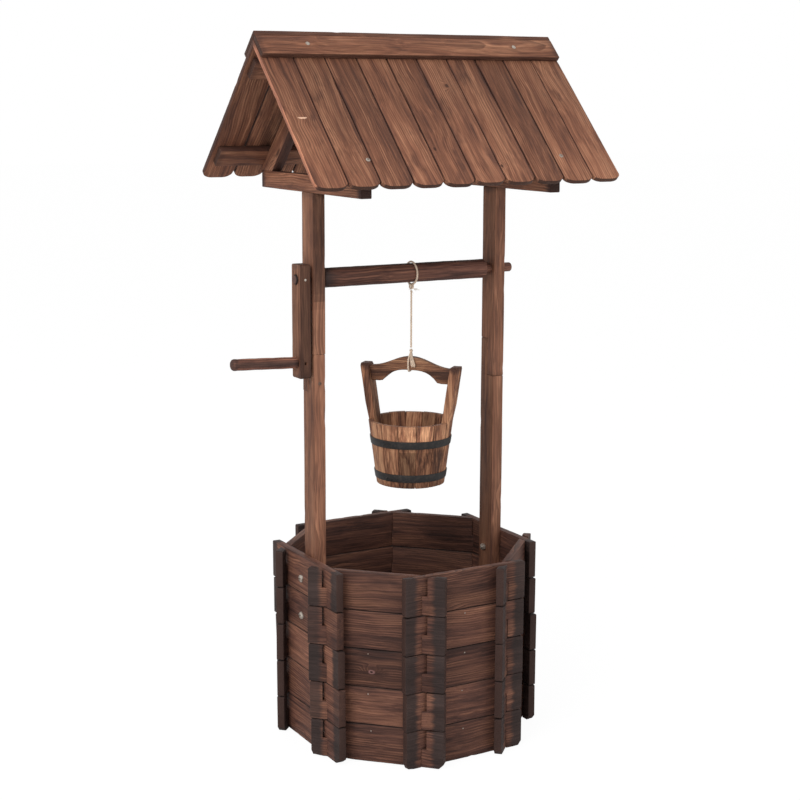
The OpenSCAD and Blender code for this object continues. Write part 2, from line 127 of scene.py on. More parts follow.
def spun(outline, sides=48, fromAngle=0, angle=360):
    # spins an outline of (distance from the axis, height) about Z; a part turn is closed
    deselectAll()
    bpy.ops.mesh.primitive_circle_add(vertices=len(outline), radius=0.01,
                                      fill_type="NOTHING" if angle == 360 else "NGON")
    obj = bpy.context.object
    for v, (radius, height) in zip(obj.data.vertices, outline):
        v.co = at(radius, 0, height)
    obj.data.transform(turned(fromAngle, "Z"))
    with editing(obj):
        bpy.ops.mesh.spin(steps=sides, angle=-math.radians(angle), center=(0, 0, 0),
                          axis=(0, 0, 1))          # this operator counts clockwise
        bpy.ops.mesh.select_all(action="SELECT")
        bpy.ops.mesh.remove_doubles(threshold=0.00001)
        bpy.ops.mesh.delete_loose(use_verts=True, use_edges=True, use_faces=False)
        bpy.ops.mesh.select_all(action="SELECT")
        bpy.ops.mesh.normals_make_consistent(inside=False)
    return obj


def cutAway(obj, cutter, operation="DIFFERENCE"):
    cut = obj.modifiers.new("cut", "BOOLEAN")
    cut.operation = operation
    cut.solver = "EXACT"
    cut.object = cutter
    applyModifiers(obj)
    bpy.data.objects.remove(cutter)
    return obj


def sliceAlong(obj, axis, step):
    # adds cross cuts, so that a long board can wander and its edges can be uneven
    places = [v.co.dot(axis) for v in obj.data.vertices]
    low, high = min(places), max(places)
    count = max(1, round((high - low) / (step * mm)))
    with editing(obj):
        for k in range(1, count):
            bpy.ops.mesh.select_all(action="SELECT")
            bpy.ops.mesh.bisect(plane_co=axis * (low + (high - low) * k / count), plane_no=axis)
    return obj


def trimPast(obj, point, normal):
    # takes away what lies past a plane and closes the cut
    with editing(obj):
        bpy.ops.mesh.bisect(plane_co=at(*point), plane_no=normal, use_fill=True,
                            clear_outer=True)
    return obj


def bevelWhere(obj, width, segments, test):
    # rounds the edges whose two ends both pass the test, which gets millimetres
    with editing(obj):
        bpy.ops.mesh.select_mode(type="EDGE")
        bpy.ops.mesh.select_all(action="DESELECT")
    for edge in obj.data.edges:
        edge.select = all(test(obj.data.vertices[k].co / mm) for k in edge.vertices)
    bpy.ops.object.mode_set(mode="EDIT")
    bpy.ops.mesh.bevel(offset=width * mm, segments=segments, affect="EDGES")
    bpy.ops.mesh.select_mode(type="VERT")
    bpy.ops.object.mode_set(mode="OBJECT")
    return obj


def roundEdges(obj, width, segments=2, angle=30):
    bevel = obj.modifiers.new("round", "BEVEL")
    bevel.width = width * mm
    bevel.segments = segments
    bevel.limit_method = "ANGLE"
    bevel.angle_limit = math.radians(angle)
    bevel.use_clamp_overlap = True
    return applyModifiers(obj)


def wander(obj, amount, reach, seed):
    # moves points a little by a smooth noise, as sawn timber is never quite straight
    shift = Vector((seed * 7.3, seed * 3.1, seed * 5.7))
    for v in obj.data.vertices:
        v.co += noise.noise_vector(v.co / (reach * mm) + shift) * amount * mm
    return obj


def knock(obj, count, depth, seed, axis=0):
    # small dents on the long edges, each a few millimetres across
    draw = random.Random(seed)
    points = [v.co.copy() for v in obj.data.vertices]
    middle = sum(points, Vector()) / len(points)
    for k in range(count):
        spot, reach = draw.choice(points), draw.uniform(5, 12) * mm
        push = middle - spot
        push[axis] = 0
        push = push.normalized() * draw.uniform(0.3, 1) * depth * mm
        for v, point in zip(obj.data.vertices, points):
            near = 1 - (point - spot).length / reach
            if near > 0:
                v.co += push * near
    return obj


def weather(board, dents, bend, seed, axis=0):
    # dents: how many and how deep; bend: how far its points wander and over what length
    knock(board, *dents, seed, axis)
    return wander(board, *bend, seed)


def lengthened(x, start, full, more):
    # where a place past start goes when the part past it, full long, gets longer by more
    return start + (x - start) * (full + more) / full


def copyOf(obj):
    return newObject(obj.name + "Copy", obj.data.copy())


def place(obj, matrix):
    obj.matrix_world = matrix
    return settle(obj)


def boardAxes(origin, along, width):
    # from a board lying along X, its thickness along Y and its width along Z
    along, width = Vector(along).normalized(), Vector(width).normalized()
    matrix = Matrix((along, width.cross(along), width)).transposed().to_4x4()
    matrix.translation = at(*origin)
    return matrix


def join(objects):
    deselectAll()
    for obj in objects:
        obj.select_set(True)
    bpy.context.view_layer.objects.active = objects[0]
    if len(objects) > 1:
        bpy.ops.object.join()
    return bpy.context.object


plainTimber = {
    "tone": 1.0,          # lighter above 1
    # how light the wide and the narrow faces are, which paints light and shade by which way a
    # face looks as well as the timber's own tone: towards -X, towards +X, and where the one
    # gives way to the other
    "faceTone": (1, 1, 0),
    "edgeTone": (0.9, 0.9, 0),
    "toneReach": 20,      # over this length
    "endTone": 1.0,
    "rimBurn": 1.0,       # char along the edges of its wide faces
    "edgeBurn": 1.0,      # char on its narrow faces
    "scorch": 0.0,        # darker streaks above 0
    "fresh": 0.0,         # more of the light streaks above 0
    "burn": (0.9, 0.9),   # char on the end at +X and on the end at -X
    "burnReach": 30,
    # place along the board, place across it, radius, which is below 0 for a pale resin mark that
    # on the roof's first front board is a painted highlight
    "knot": (900, 900, 1),
    "lean": 0.03,         # how far the grain runs off the board's line, at most
}


def grainOn(obj, seed, look=None, order=(0, 1, 2)):
    # Timber data kept on the mesh: where it was in the log, where a point is on the board,
    # the board's half size, its own tone, and which way each face looks, with a tone for each
    # face that paints light and shade by that way as well as timber tone. order names the
    # axes of the board's length, thickness and width.
    look = {**plainTimber, **(look or {})}
    draw = random.Random(seed)
    points = [Vector([v.co[k] for k in order]) for v in obj.data.vertices]
    low = Vector([min(p[k] for p in points) for k in range(3)])
    high = Vector([max(p[k] for p in points) for k in range(3)])
    middle, half = (low + high) / 2, (high - low) / 2
    heart = look.get("heart") or (draw.choice((-1, 1)) * draw.uniform(8, 26),
                                  draw.choice((-1, 1)) * draw.uniform(22, 70))
    lean = draw.uniform(-1, 1) * look["lean"]
    along = draw.uniform(0, 40)
    values = {"grain": [], "local": []}
    for p in points:
        p = p - middle
        values["grain"] += [p.x + along, p.y + heart[0] * mm + p.x * lean * 0.4,
                            p.z + heart[1] * mm + p.x * lean]
        values["local"] += list(p)
    same = {"half": half, "tint": (look["tone"], look["scorch"], look["fresh"]),
            "burn": (*look["burn"], look["burnReach"] * mm), "knot": at(*look["knot"])}
    for name, value in same.items():
        values[name] = list(value) * len(points)
    for name, flat in values.items():
        layer = obj.data.attributes.new(name, "FLOAT_VECTOR", "POINT")
        layer.data.foreach_set("vector", flat)
    facing = obj.data.attributes.new("facing", "FLOAT_VECTOR", "FACE")
    values = []
    for face in obj.data.polygons:
        along, through, across = (abs(face.normal[k]) for k in order)
        edge = across > max(along, through)
        # a face's tone, chosen by which way it looks, paints light and shade on it as well as
        # timber tone
        first, second, border = look["edgeTone" if edge else "faceTone"]
        share = (face.center[order[0]] - middle.x) / mm - border
        tone = first + (second - first) * min(1, max(0, share / look["toneReach"] + 0.5))
        values += [along, look["endTone"] if along > 0.75 else tone,
                   look["edgeBurn" if edge else "rimBurn"]]
    facing.data.foreach_set("vector", values)
    return obj


def finishPiece(obj, node, material, body="well", name=None, smooth=40):
    # a piece is named after the solid it stands for: tie_beam_left gives tieBeamLeft
    if smooth:
        selectOnly(obj)
        bpy.ops.object.shade_smooth_by_angle(angle=math.radians(smooth))
    for uv in list(obj.data.uv_layers):
        obj.data.uv_layers.remove(uv)
    first, *rest = (node or "").split("_")
    obj.name = obj.data.name = name or first + "".join(word.capitalize() for word in rest)
    obj.data.materials.clear()
    obj.data.materials.append(material)
    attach(obj, body)
    if node:
        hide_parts(node)
    return obj


cameraLook = {
    "place": (-1302.68, -2268.64, 1046.16),
    "turn": 29.630,     # degrees, clockwise from straight towards the back
    "down": 10.782,
    "roll": 0.183,
    "lens": 73.695,
}


def addCamera(look):
    data = bpy.data.cameras.new("camera")
    data.lens = look["lens"]
    data.sensor_width = 36
    data.clip_start, data.clip_end = 0.05, 100
    obj = newObject("camera", data)
    obj.matrix_world = (moved(*look["place"]) @ turned(-look["turn"], "Z")
                        @ turned(90 - look["down"], "X") @ turned(look["roll"], "Z"))
    bpy.context.scene.camera = obj


addCamera(cameraLook)
print("camera placed")


class Wire:
    # a shader value that is added, multiplied and compared as a number is
    def __init__(self, socket):
        self.socket = socket

    def __add__(self, other):
        return calculate("ADD", self, other)

    def __sub__(self, other):
        return calculate("SUBTRACT", self, other)

    def __rsub__(self, other):
        return calculate("SUBTRACT", other, self)

    def __mul__(self, other):
        return calculate("MULTIPLY", self, other)

    def __truediv__(self, other):
        return calculate("DIVIDE", self, other)

    def __lt__(self, other):
        return calculate("LESS_THAN", self, other)

    def __gt__(self, other):
        return calculate("GREATER_THAN", self, other)


def feed(node, inputs):
    # inputs are values, or wires to link
    for key, value in inputs.items():
        socket = node.inputs[key]
        if isinstance(value, Wire):
            node.id_data.links.new(value.socket, socket)
        else:
            socket.default_value = (*value, 1) if socket.type == "RGBA" else value


def addNode(tree, kind, inputs=None, output=0, **settings):
    node = tree.nodes.new("ShaderNode" + kind)
    for key, value in settings.items():
        setattr(node, key, value)
    feed(node, inputs or {})
    return Wire(node.outputs[output])


def following(values, kind, inputs, output=0, **settings):
    # a node in the tree of the first wire among the values
    tree = next(value.socket.id_data for value in values if isinstance(value, Wire))
    return addNode(tree, kind, inputs, output, **settings)


def calculate(operation, *values, clamp=False):
    return following(values, "Math", dict(enumerate(values)), operation=operation,
                     use_clamp=clamp)


def larger(first, second, clamp=False):
    return calculate("MAXIMUM", first, second, clamp=clamp)


def vectorWork(operation, *values, output=0):
    return following(values, "VectorMath", dict(enumerate(values)), output,
                     operation=operation)


def combine(*values):
    return following(values, "CombineXYZ", dict(enumerate(values)))


def parts(vector):
    return [Wire(socket) for socket in
            following([vector], "SeparateXYZ", {"Vector": vector}).socket.node.outputs]


def stretched(vector, scale):
    return following([vector], "Mapping", {"Vector": vector, "Scale": scale})


def noiseOn(vector, scale, detail, rough, output="Fac"):
    return following([vector], "TexNoise", {"Vector": stretched(vector, scale), "Scale": 1.0,
                                            "Detail": detail, "Roughness": rough}, output)


def ramp(fac, *stops):
    # stops are (position, grey or colour)
    wire = following([fac], "ValToRGB", {"Fac": fac})
    elements = wire.socket.node.color_ramp.elements
    while len(elements) < len(stops):
        elements.new(0.5)
    for element, (position, colour) in zip(elements, stops):
        element.position = position
        element.color = (*(colour if isinstance(colour, tuple) else (colour,) * 3), 1)
    return wire


def between(value, low, high, toLow=0.0, toHigh=1.0, smooth=True):
    return following([value], "MapRange", {"Value": value, "From Min": low, "From Max": high,
                                           "To Min": toLow, "To Max": toHigh},
                     interpolation_type="SMOOTHSTEP" if smooth else "LINEAR")


def mixColour(fac, first, second):
    return following((fac, first, second), "Mix", {0: fac, 6: first, 7: second}, 2,
                     data_type="RGBA")


def bumpFrom(height, strength, distance):
    return following([height], "Bump", {"Strength": strength, "Distance": distance,
                                        "Height": height})


def newMaterial(name):
    material = bpy.data.materials.new(name)
    material.use_nodes = True
    tree = material.node_tree
    tree.nodes.clear()
    out = tree.nodes.new("ShaderNodeOutputMaterial")
    shader = tree.nodes.new("ShaderNodeBsdfPrincipled")
    tree.links.new(shader.outputs["BSDF"], out.inputs["Surface"])
    return material, tree, shader


def woodMaterial(name, look):
    # scorched, brushed and stained softwood; every pattern follows the board it is on
    material, tree, shader = newMaterial(name)
    grain, local, half, tint, burn, facing, knot = (
        addNode(tree, "Attribute", None, "Vector", attribute_name=key)
        for key in ("grain", "local", "half", "tint", "burn", "facing", "knot"))
    tone, scorch, fresh = parts(tint)
    burnPlus, burnMinus, burnReach = parts(burn)
    endOn, faceTone, edgeBurn = parts(facing)
    knotAlong, knotAcross, knotRadius = parts(knot)
    boardX, boardY, boardZ = parts(local)

    # knots bend the rings round them: a few stray ones, and one put in its place
    cell = addNode(tree, "TexVoronoi", {"Vector": stretched(grain, (6, 18, 18)), "Scale": 1.0,
                                        "Randomness": 1.0}, "Distance", feature="F1")
    cellColour = Wire(cell.socket.node.outputs["Color"])
    cell = cell + (1.0 - (parts(cellColour)[0] < look["strayKnots"]))
    along = boardX - knotAlong
    crossGlint = knotRadius < -0.005       # painted highlight: a pale mark stretched across the board
    offset = combine(along * (crossGlint * 1.5 + 0.62), boardZ - knotAcross, 0.0)
    apart = (vectorWork("LENGTH", offset, output="Value")
             / larger(calculate("ABSOLUTE", knotRadius), 0.0005))
    apartRough = noiseOn(grain, (300, 300, 300), 2.0, 0.5) * 0.5 + apart
    knotPush = larger(between(cell, 0.0, 0.30, 0.008, 0.0), between(apart, 0.5, 4.5, 0.010, 0.0))
    knotCore = larger(between(cell, 0.03, 0.09, 1.0, 0.0),
                      between(apartRough, 1.0, 1.45, 1.0, 0.0))

    # the rings of the log, wavering a little along it
    drift = vectorWork("MULTIPLY_ADD", noiseOn(grain, (7, 9, 9), 2.0, 0.5, "Color"),
                       (0, 0.018, 0.018), (0, -0.009, -0.009))
    wavering = vectorWork("ADD", grain, drift)
    log = vectorWork("ADD", wavering, combine(0.0, knotPush, knotPush))
    rings = addNode(tree, "TexWave",
                    {"Vector": stretched(log, (0.12, 1, 1)),
                     "Scale": 0.3142 / (look["ringSpacing"] * mm), "Distortion": 1.8,
                     "Detail": 2.0, "Detail Scale": 0.6, "Detail Roughness": 0.6}, "Fac",
                    wave_type="RINGS", rings_direction="X", wave_profile="SAW")
    lateWood = ramp(rings, (0.0, 0.0), (0.50, 0.1), (0.82, 0.8), (0.94, 1.0), (1.0, 0.15))
    paleEdge = ramp(rings, (0.0, 1.0), (0.12, 0.8), (0.36, 0.0), (1.0, 0.0))

    # streaks run along the board: scorched ones, brown ones and light ones
    fibre = noiseOn(wavering, (14, 560, 560), 4.0, 0.65)
    streak = noiseOn(wavering, (3.5, 120, 120), 4.0, 0.6)
    thin = noiseOn(wavering, (5, 330, 330), 3.0, 0.6)
    patch = noiseOn(grain, (8, 34, 34), 3.0, 0.55)
    blend = streak * 0.36 + patch * 0.34 + thin * 0.30 + (fresh - scorch) * 0.12
    colour = ramp(blend, (look["darkAt"], look["scorched"]), (look["midAt"], look["bare"]),
                  (look["lightAt"], look["pale"]))
    smudge = noiseOn(grain, (11, 28, 28), 3.0, 0.6)
    colour = mixColour(between(smudge, 0.58, 0.70, 0.0, look["smudge"]), colour,
                       look["scorched"])
    shown = between(patch, 0.44, 0.60, 0.22, 1.0)
    colour = mixColour(lateWood * shown * look["lineStrength"], colour, look["line"])
    lightWood = between(blend, look["midAt"] - 0.06, look["midAt"] + 0.05, 0.0,
                        look["paleStrength"])
    colour = mixColour(paleEdge * shown * lightWood, colour, look["pale"])
    # the face's tone paints light and shade onto the colour, by which way the face looks, besides
    # the fibre and the board's tone
    shade = between(fibre, 0.25, 0.75, 0.55, 1.45, smooth=False) * tone * faceTone
    colour = addNode(tree, "HueSaturation", {"Color": colour, "Value": shade})
    # pale marks: resin, and on the roof's first front board a painted highlight
    resin = (knotRadius < 0.0) * between(apartRough, 0.55, 0.9, 0.0, 0.9)
    mark = mixColour(larger(resin, crossGlint), look["knot"], look["resin"])
    lowerLip = larger(between(along, -0.0004, 0.0012), 1.0 - crossGlint)
    colour = mixColour(knotCore * 0.85 * lowerLip, colour, mark)

    # char on the ends and along the edges, where the flame bites first
    insideX, insideY, insideZ = parts(vectorWork("SUBTRACT", half,
                                                 vectorWork("ABSOLUTE", local)))
    endBurn = (boardX > 0.0) * (burnPlus - burnMinus) + burnMinus
    fromEnd = (insideX + (streak * 0.016 - 0.008)) / burnReach
    endChar = between(fromEnd, look["charCore"], 1.0, 1.0, 0.0) * endBurn
    edgeChar = between(patch * 0.002 + insideZ, 0.0012, look["edgeReach"] * mm,
                       look["edgeChar"], 0.0) * edgeBurn
    charColour = ramp(fibre * 0.5 + patch * 0.5,
                      (0.36, tuple(c * 0.6 for c in look["char"])), (0.5, look["char"]),
                      (0.64, tuple(c * 1.5 for c in look["char"])))
    colour = mixColour(larger(endChar, edgeChar, clamp=True), colour, charColour)
    sawn = addNode(tree, "HueSaturation", {"Color": look["endGrain"], "Value": faceTone})
    colour = mixColour(between(endOn, 0.6, 0.9, 0.0, look["endStrength"]), colour, sawn)

    height = lateWood * 0.5 + fibre * 0.7 + knotCore * 0.5
    feed(shader, {"Base Color": colour, "Normal": bumpFrom(height, look["relief"], 0.0012),
                  "Roughness": fibre * 0.22 + (look["rough"] - 0.11),
                  "Specular IOR Level": look["shine"]})
    return material


darkPineLook = {
    "bare": (0.105, 0.046, 0.033), "scorched": (0.045, 0.022, 0.018),
    "pale": (0.235, 0.106, 0.066), "line": (0.034, 0.016, 0.012),
    "knot": (0.025, 0.012, 0.01), "resin": (0.24, 0.12, 0.11),
    "char": (0.033, 0.022, 0.020), "endGrain": (0.05, 0.024, 0.018),
    "darkAt": 0.40, "midAt": 0.50, "lightAt": 0.66,
    "ringSpacing": 3.6, "lineStrength": 0.6, "paleStrength": 0.75, "smudge": 0.5,
    "edgeChar": 0.75, "edgeReach": 3.2, "charCore": 0.6, "endStrength": 0.6,
    "strayKnots": 0.25, "relief": 0.45, "rough": 0.6, "shine": 0.14,
}
roofPineLook = dict(
    darkPineLook, bare=(0.19, 0.078, 0.045), scorched=(0.082, 0.035, 0.024),
    pale=(0.37, 0.175, 0.10), line=(0.065, 0.028, 0.019), knot=(0.04, 0.018, 0.013),
    # a bright pale mark colour, for the painted highlight on the first front board
    resin=(0.85, 0.54, 0.38), char=(0.052, 0.025, 0.020), endGrain=(0.04, 0.020, 0.015),
    lineStrength=0.55, smudge=0.8, edgeChar=0.85, edgeReach=2.2, charCore=0.2,
    endStrength=0.85, darkAt=0.38)
postPineLook = dict(
    darkPineLook, bare=(0.185, 0.080, 0.046), scorched=(0.085, 0.037, 0.025),
    pale=(0.31, 0.148, 0.086), line=(0.07, 0.030, 0.019), knot=(0.05, 0.024, 0.017),
    char=(0.06, 0.033, 0.026), lightAt=0.64, ringSpacing=3.0, lineStrength=0.5,
    edgeChar=0.35, charCore=0.2)
bucketPineLook = dict(
    darkPineLook, bare=(0.29, 0.125, 0.068), scorched=(0.095, 0.042, 0.027),
    pale=(0.60, 0.31, 0.17), line=(0.09, 0.04, 0.025), knot=(0.06, 0.03, 0.02),
    char=(0.060, 0.028, 0.021), endGrain=(0.12, 0.06, 0.04), ringSpacing=2.6, darkAt=0.43,
    lightAt=0.59, lineStrength=0.5, edgeChar=0.5, charCore=0.2, endStrength=0.3)

darkPine = woodMaterial("darkPine", darkPineLook)
roofPine = woodMaterial("roofPine", roofPineLook)
postPine = woodMaterial("postPine", postPineLook)
bucketPine = woodMaterial("bucketPine", bucketPineLook)


def metalMaterial(name, colour, rough, metallic, stain):
    # plated or painted strip with a blotchy finish
    material, tree, shader = newMaterial(name)
    blotch = noiseOn(addNode(tree, "TexCoord", output="Object"), (180, 180, 180), 4.0, 0.6)
    feed(shader, {"Base Color": mixColour(between(blotch, 0.4, 0.7), colour, stain),
                  "Roughness": blotch * 0.3 + (rough - 0.15),
                  "Normal": bumpFrom(blotch, 0.2, 0.0004), "Metallic": metallic,
                  "Specular IOR Level": 0.25})
    return material


blackStrip = metalMaterial("blackStrip", (0.013, 0.012, 0.012), 0.5, 0.0, (0.03, 0.024, 0.021))
zinc = metalMaterial("zinc", (0.44, 0.39, 0.34), 0.42, 0.6, (0.26, 0.20, 0.16))
dullSteel = metalMaterial("dullSteel", (0.16, 0.10, 0.075), 0.6, 0.3, (0.09, 0.055, 0.04))


def juteMaterial():
    # soft pale fibres
    material, tree, shader = newMaterial("jute")
    position = addNode(tree, "TexCoord", output="Object")
    fuzz = noiseOn(position, (1500, 1500, 700), 4.0, 0.7)
    patch = noiseOn(position, (120, 120, 120), 2.0, 0.5)
    colour = mixColour(between(fuzz, 0.3, 0.7), (0.42, 0.31, 0.23), (0.82, 0.64, 0.48))
    colour = mixColour(between(patch, 0.35, 0.7, 0.0, 0.35), colour, (0.36, 0.28, 0.21))
    feed(shader, {"Base Color": colour, "Normal": bumpFrom(fuzz, 0.5, 0.0005),
                  "Roughness": 0.85, "Sheen Weight": 0.3})
    return material


jute = juteMaterial()
print("materials made")


rope = {
    "x": 8, "thick": 3.2, "layLength": 13, "axleZ": 755.5, "loopRadius": 17.7, "loopPitch": 3.2,
    "topKnotZ": 731.7, "knotSize": 1.6, "knotRaised": 3.2, "fallTopZ": 726.7, "fallLowZ": 633.8,
    "bowKnotZ": 628.8, "bowKnotSize": 0.8, "lift": 83,
    "hitchX": -2, "hitchHalf": 8.5, "hitchLowZ": 595.5, "hitchHighZ": 621.5,
    "tuftCount": 26, "tuftFrom": 3, "tuftTo": 11, "tuftLowZ": 606, "bucketTurn": -48,
}


def bucketAxes():
    return moved(rope["x"], 0, 0) @ turned(rope["bucketTurn"], "Z")


def evenPath(points, step):
    # points about a step apart along a smooth line through the given ones, in millimetres
    points = [Vector(p) for p in points]
    ends = [2 * points[0] - points[1]] + points + [2 * points[-1] - points[-2]]
    path = []
    for before, start, end, after in zip(ends, ends[1:], ends[2:], ends[3:]):
        count = max(1, round((end - start).length / step))
        for k in range(count):
            t = k / count
            path.append(0.5 * (2 * start + (end - before) * t
                               + (2 * before - 5 * start + 4 * end - after) * t ** 2
                               + (3 * start - before - 3 * end + after) * t ** 3))
    return path + [points[-1]]


def addCurve(name, dimensions, points):
    curve = bpy.data.curves.new(name, "CURVE")
    curve.dimensions = dimensions
    line = curve.splines.new("POLY")
    line.points.add(len(points) - 1)
    for point, p in zip(line.points, points):
        point.co = (*(p * mm), 1)
    return newObject(name, curve), line


def layRope(points, thick, strands=3, step=0.9):
    # sweeps a lobed outline along a line, turning it as the strands of a rope turn
    lobes = []
    around = 24 if strands > 1 else 6
    for k in range(around):
        angle = 2 * math.pi * k / around
        radius = thick / 2
        if strands > 1:
            off = (angle % (2 * math.pi / strands)) - math.pi / strands
            radius *= 0.4 * math.cos(off) + math.sqrt(0.36 - 0.16 * math.sin(off) ** 2)
        lobes.append(radius * Vector((math.cos(angle), math.sin(angle), 0)))
    outline, ring = addCurve("outline", "2D", lobes)
    ring.use_cyclic_u = True
    path = evenPath(points, step)
    obj, line = addCurve("line", "3D", path)
    travelled = 0
    for k, p in enumerate(path):
        travelled += (p - path[k - 1]).length if k else 0
        line.points[k].tilt = 2 * math.pi * travelled / rope["layLength"]
    obj.data.bevel_mode = "OBJECT"
    obj.data.bevel_object = outline
    obj.data.use_fill_caps = True
    selectOnly(obj)
    bpy.ops.object.convert(target="MESH")
    obj = bpy.context.object
    bpy.data.objects.remove(outline)
    with editing(obj):
        bpy.ops.mesh.remove_doubles(threshold=0.000001)
        bpy.ops.mesh.normals_make_consistent(inside=False)
    bpy.ops.object.shade_smooth_by_angle(angle=math.radians(60))
    return obj


def ropeKnot(centre, turn, size):
    # an overhand knot pulled tight
    points = []
    for k in range(49):
        t = 2 * math.pi * (k + 0.5) / 50
        points.append((size * (math.sin(t) + 2 * math.sin(2 * t)),
                       size * (math.cos(t) - 2 * math.cos(2 * t)), -size * 1.3 * math.sin(3 * t)))
    return place(layRope(points, rope["thick"] * 0.92),
                 moved(*centre) @ turned(turn, "Z") @ turned(90, "X"))


def frayed(start, away, count, length, seed):
    # loose fibres that curl out of a cut end
    draw = random.Random(seed)
    wisps = []
    for k in range(count):
        lean = Vector([draw.uniform(-0.55, 0.55) for axis in range(3)])
        bend = Vector([draw.uniform(-0.5, 0.5) for axis in range(3)])
        reach = length * draw.uniform(0.5, 1)
        heading = Vector(away).normalized() + lean
        points = [Vector(start) + heading * reach * t + bend * reach * t * t
                  for t in (0, 0.3, 0.6, 0.85, 1)]
        wisps.append(layRope(points, draw.uniform(0.35, 0.6), strands=1, step=1.6))
    return wisps


def ropeHitch():
    # once round the bow, then a cut end that lies frayed over its front
    low, high, knotZ = rope["hitchLowZ"], rope["hitchHighZ"], rope["bowKnotZ"]
    middle, reach = (low + high) / 2, (high - low) / 2
    line = [(-0.5, 0, knotZ - 3)]
    for k in range(3, 30):
        angle = math.radians(90) + 2 * math.pi * k / 32
        swing, rise = math.cos(angle), math.sin(angle)
        line.append((rope["hitchX"] * min(1, k / 8, (32 - k) / 8),
                     rope["hitchHalf"] * math.copysign(abs(swing) ** 0.5, swing),
                     middle + reach * math.copysign(abs(rise) ** 0.5, rise)))
    line.append((0.5, 0, knotZ - 3))
    strands = [layRope(line, rope["thick"])]
    draw = random.Random(9)
    for k in range(rope["tuftCount"]):
        across = draw.uniform(rope["tuftFrom"], rope["tuftTo"])
        low = rope["tuftLowZ"] + draw.uniform(-3, 3)
        strands.append(layRope([(draw.uniform(-1.5, 1.5), -1, knotZ - 1),
                                (across * 0.3, draw.uniform(-5.5, -4), high + 2),
                                (across * 0.6, draw.uniform(-9.5, -8), high - 4),
                                (across * 0.85, draw.uniform(-10, -8), low + 5),
                                (across, draw.uniform(-10.5, -8.5), low)],
                               draw.uniform(0.7, 1.4), strands=1, step=2))
    return place(join(strands), bucketAxes())


def addRope():
    x, radius, knotTop = rope["x"], rope["loopRadius"], rope["topKnotZ"]
    line = [(x - 0.5, 1.5, knotTop + 2.5), (x - 1.2, 4, knotTop + 4.5)]
    for k in range(2, 47):
        angle = 2 * math.pi * k / 48
        line.append((x + rope["loopPitch"] * (k / 48 - 0.5), radius * math.sin(angle),
                     rope["axleZ"] - radius * math.cos(angle)))
    line += [(x + 1.2, -4, knotTop + 4.5), (x + 0.5, -1.5, knotTop + 2.5), (x, 0, knotTop - 2)]
    loop = join([layRope(line, rope["thick"]),
                 ropeKnot((x, 0, knotTop + rope["knotRaised"]), 20, rope["knotSize"])]
                + frayed((x - 2, -3, knotTop - 1), (-0.7, -0.8, -0.5), 9, 6, 5)
                + frayed((x + 3, -2, knotTop - 2), (0.8, -0.4, -0.5), 7, 7, 6))
    finishPiece(loop, "rope_loop", jute, "rope_ring", smooth=0)

    fall = [(x, 0, rope["fallTopZ"]), (x, 0, rope["fallLowZ"])]
    straight = layRope(fall, rope["thick"])
    finishPiece(straight, "rope_line", jute, "rope_fall", "ropeFall", smooth=0)
    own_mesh(straight)

    knot = join([ropeKnot((x, 0, rope["bowKnotZ"]), 75, rope["bowKnotSize"])]
                + frayed((x, -3, rope["bowKnotZ"]), (-0.3, -0.9, 0.2), 5, 5, 8))
    finishPiece(knot, "rope_knot", jute, "rope_end", smooth=0)
    hitch = finishPiece(ropeHitch(), "rope_hitch", jute, "bucket", smooth=0)
    [p * mm for p in evenPath(fall, 2)]


addRope()
print("rope laid")


studio = {
    "floorSize": 40, "floorGlow": 1.03, "glowShare": 0.92, "skyStrength": 0.62,
    "keyPlace": (-2.9, -1.7, 3.0), "keySize": 2.2, "keyPower": 105,
    "fillPlace": (2.2, -3.2, 1.8), "fillSize": 2.4, "fillPower": 22,
    "aim": (0, 0, 0.6),
}


def addStudio(look):
    deselectAll()
    bpy.ops.mesh.primitive_plane_add(size=look["floorSize"], location=(0, 0, -0.0005))
    floor = bpy.context.object
    floor.name = "floor"
    material, tree, shader = newMaterial("floorWhite")
    feed(shader, {"Base Color": (0.93, 0.93, 0.93), "Roughness": 0.9})
    glow = addNode(tree, "Emission", {"Color": (1, 1, 1), "Strength": look["floorGlow"]})
    share = addNode(tree, "LightPath", output="Is Camera Ray") * look["glowShare"]
    mixed = addNode(tree, "MixShader", {0: share, 1: Wire(shader.outputs[0]), 2: glow})
    feed(tree.nodes["Material Output"], {"Surface": mixed})
    floor.data.materials.append(material)

    world = bpy.data.worlds.new("studio")
    bpy.context.scene.world = world
    world.use_nodes = True
    camera, glossy, through = (addNode(world.node_tree, "LightPath", output=f"Is {kind} Ray")
                               for kind in ("Camera", "Glossy", "Transmission"))
    seen = larger(camera, larger(glossy, through))
    feed(world.node_tree.nodes["Background"],
         {"Color": (1, 1, 1),
          "Strength": between(seen, 0.0, 1.0, look["skyStrength"], 1.0, smooth=False)})

    for side in ("key", "fill"):
        data = bpy.data.lights.new(side, "AREA")
        data.shape = "SQUARE"
        data.size = look[side + "Size"]
        data.energy = look[side + "Power"]
        lamp = newObject(side, data)
        lamp.location = look[side + "Place"]
        aim = Vector(look["aim"]) - lamp.location
        lamp.rotation_euler = aim.to_track_quat("-Z", "Y").to_euler()


addStudio(studio)
bpy.context.scene.view_settings.view_transform = "Standard"
print("studio lit")


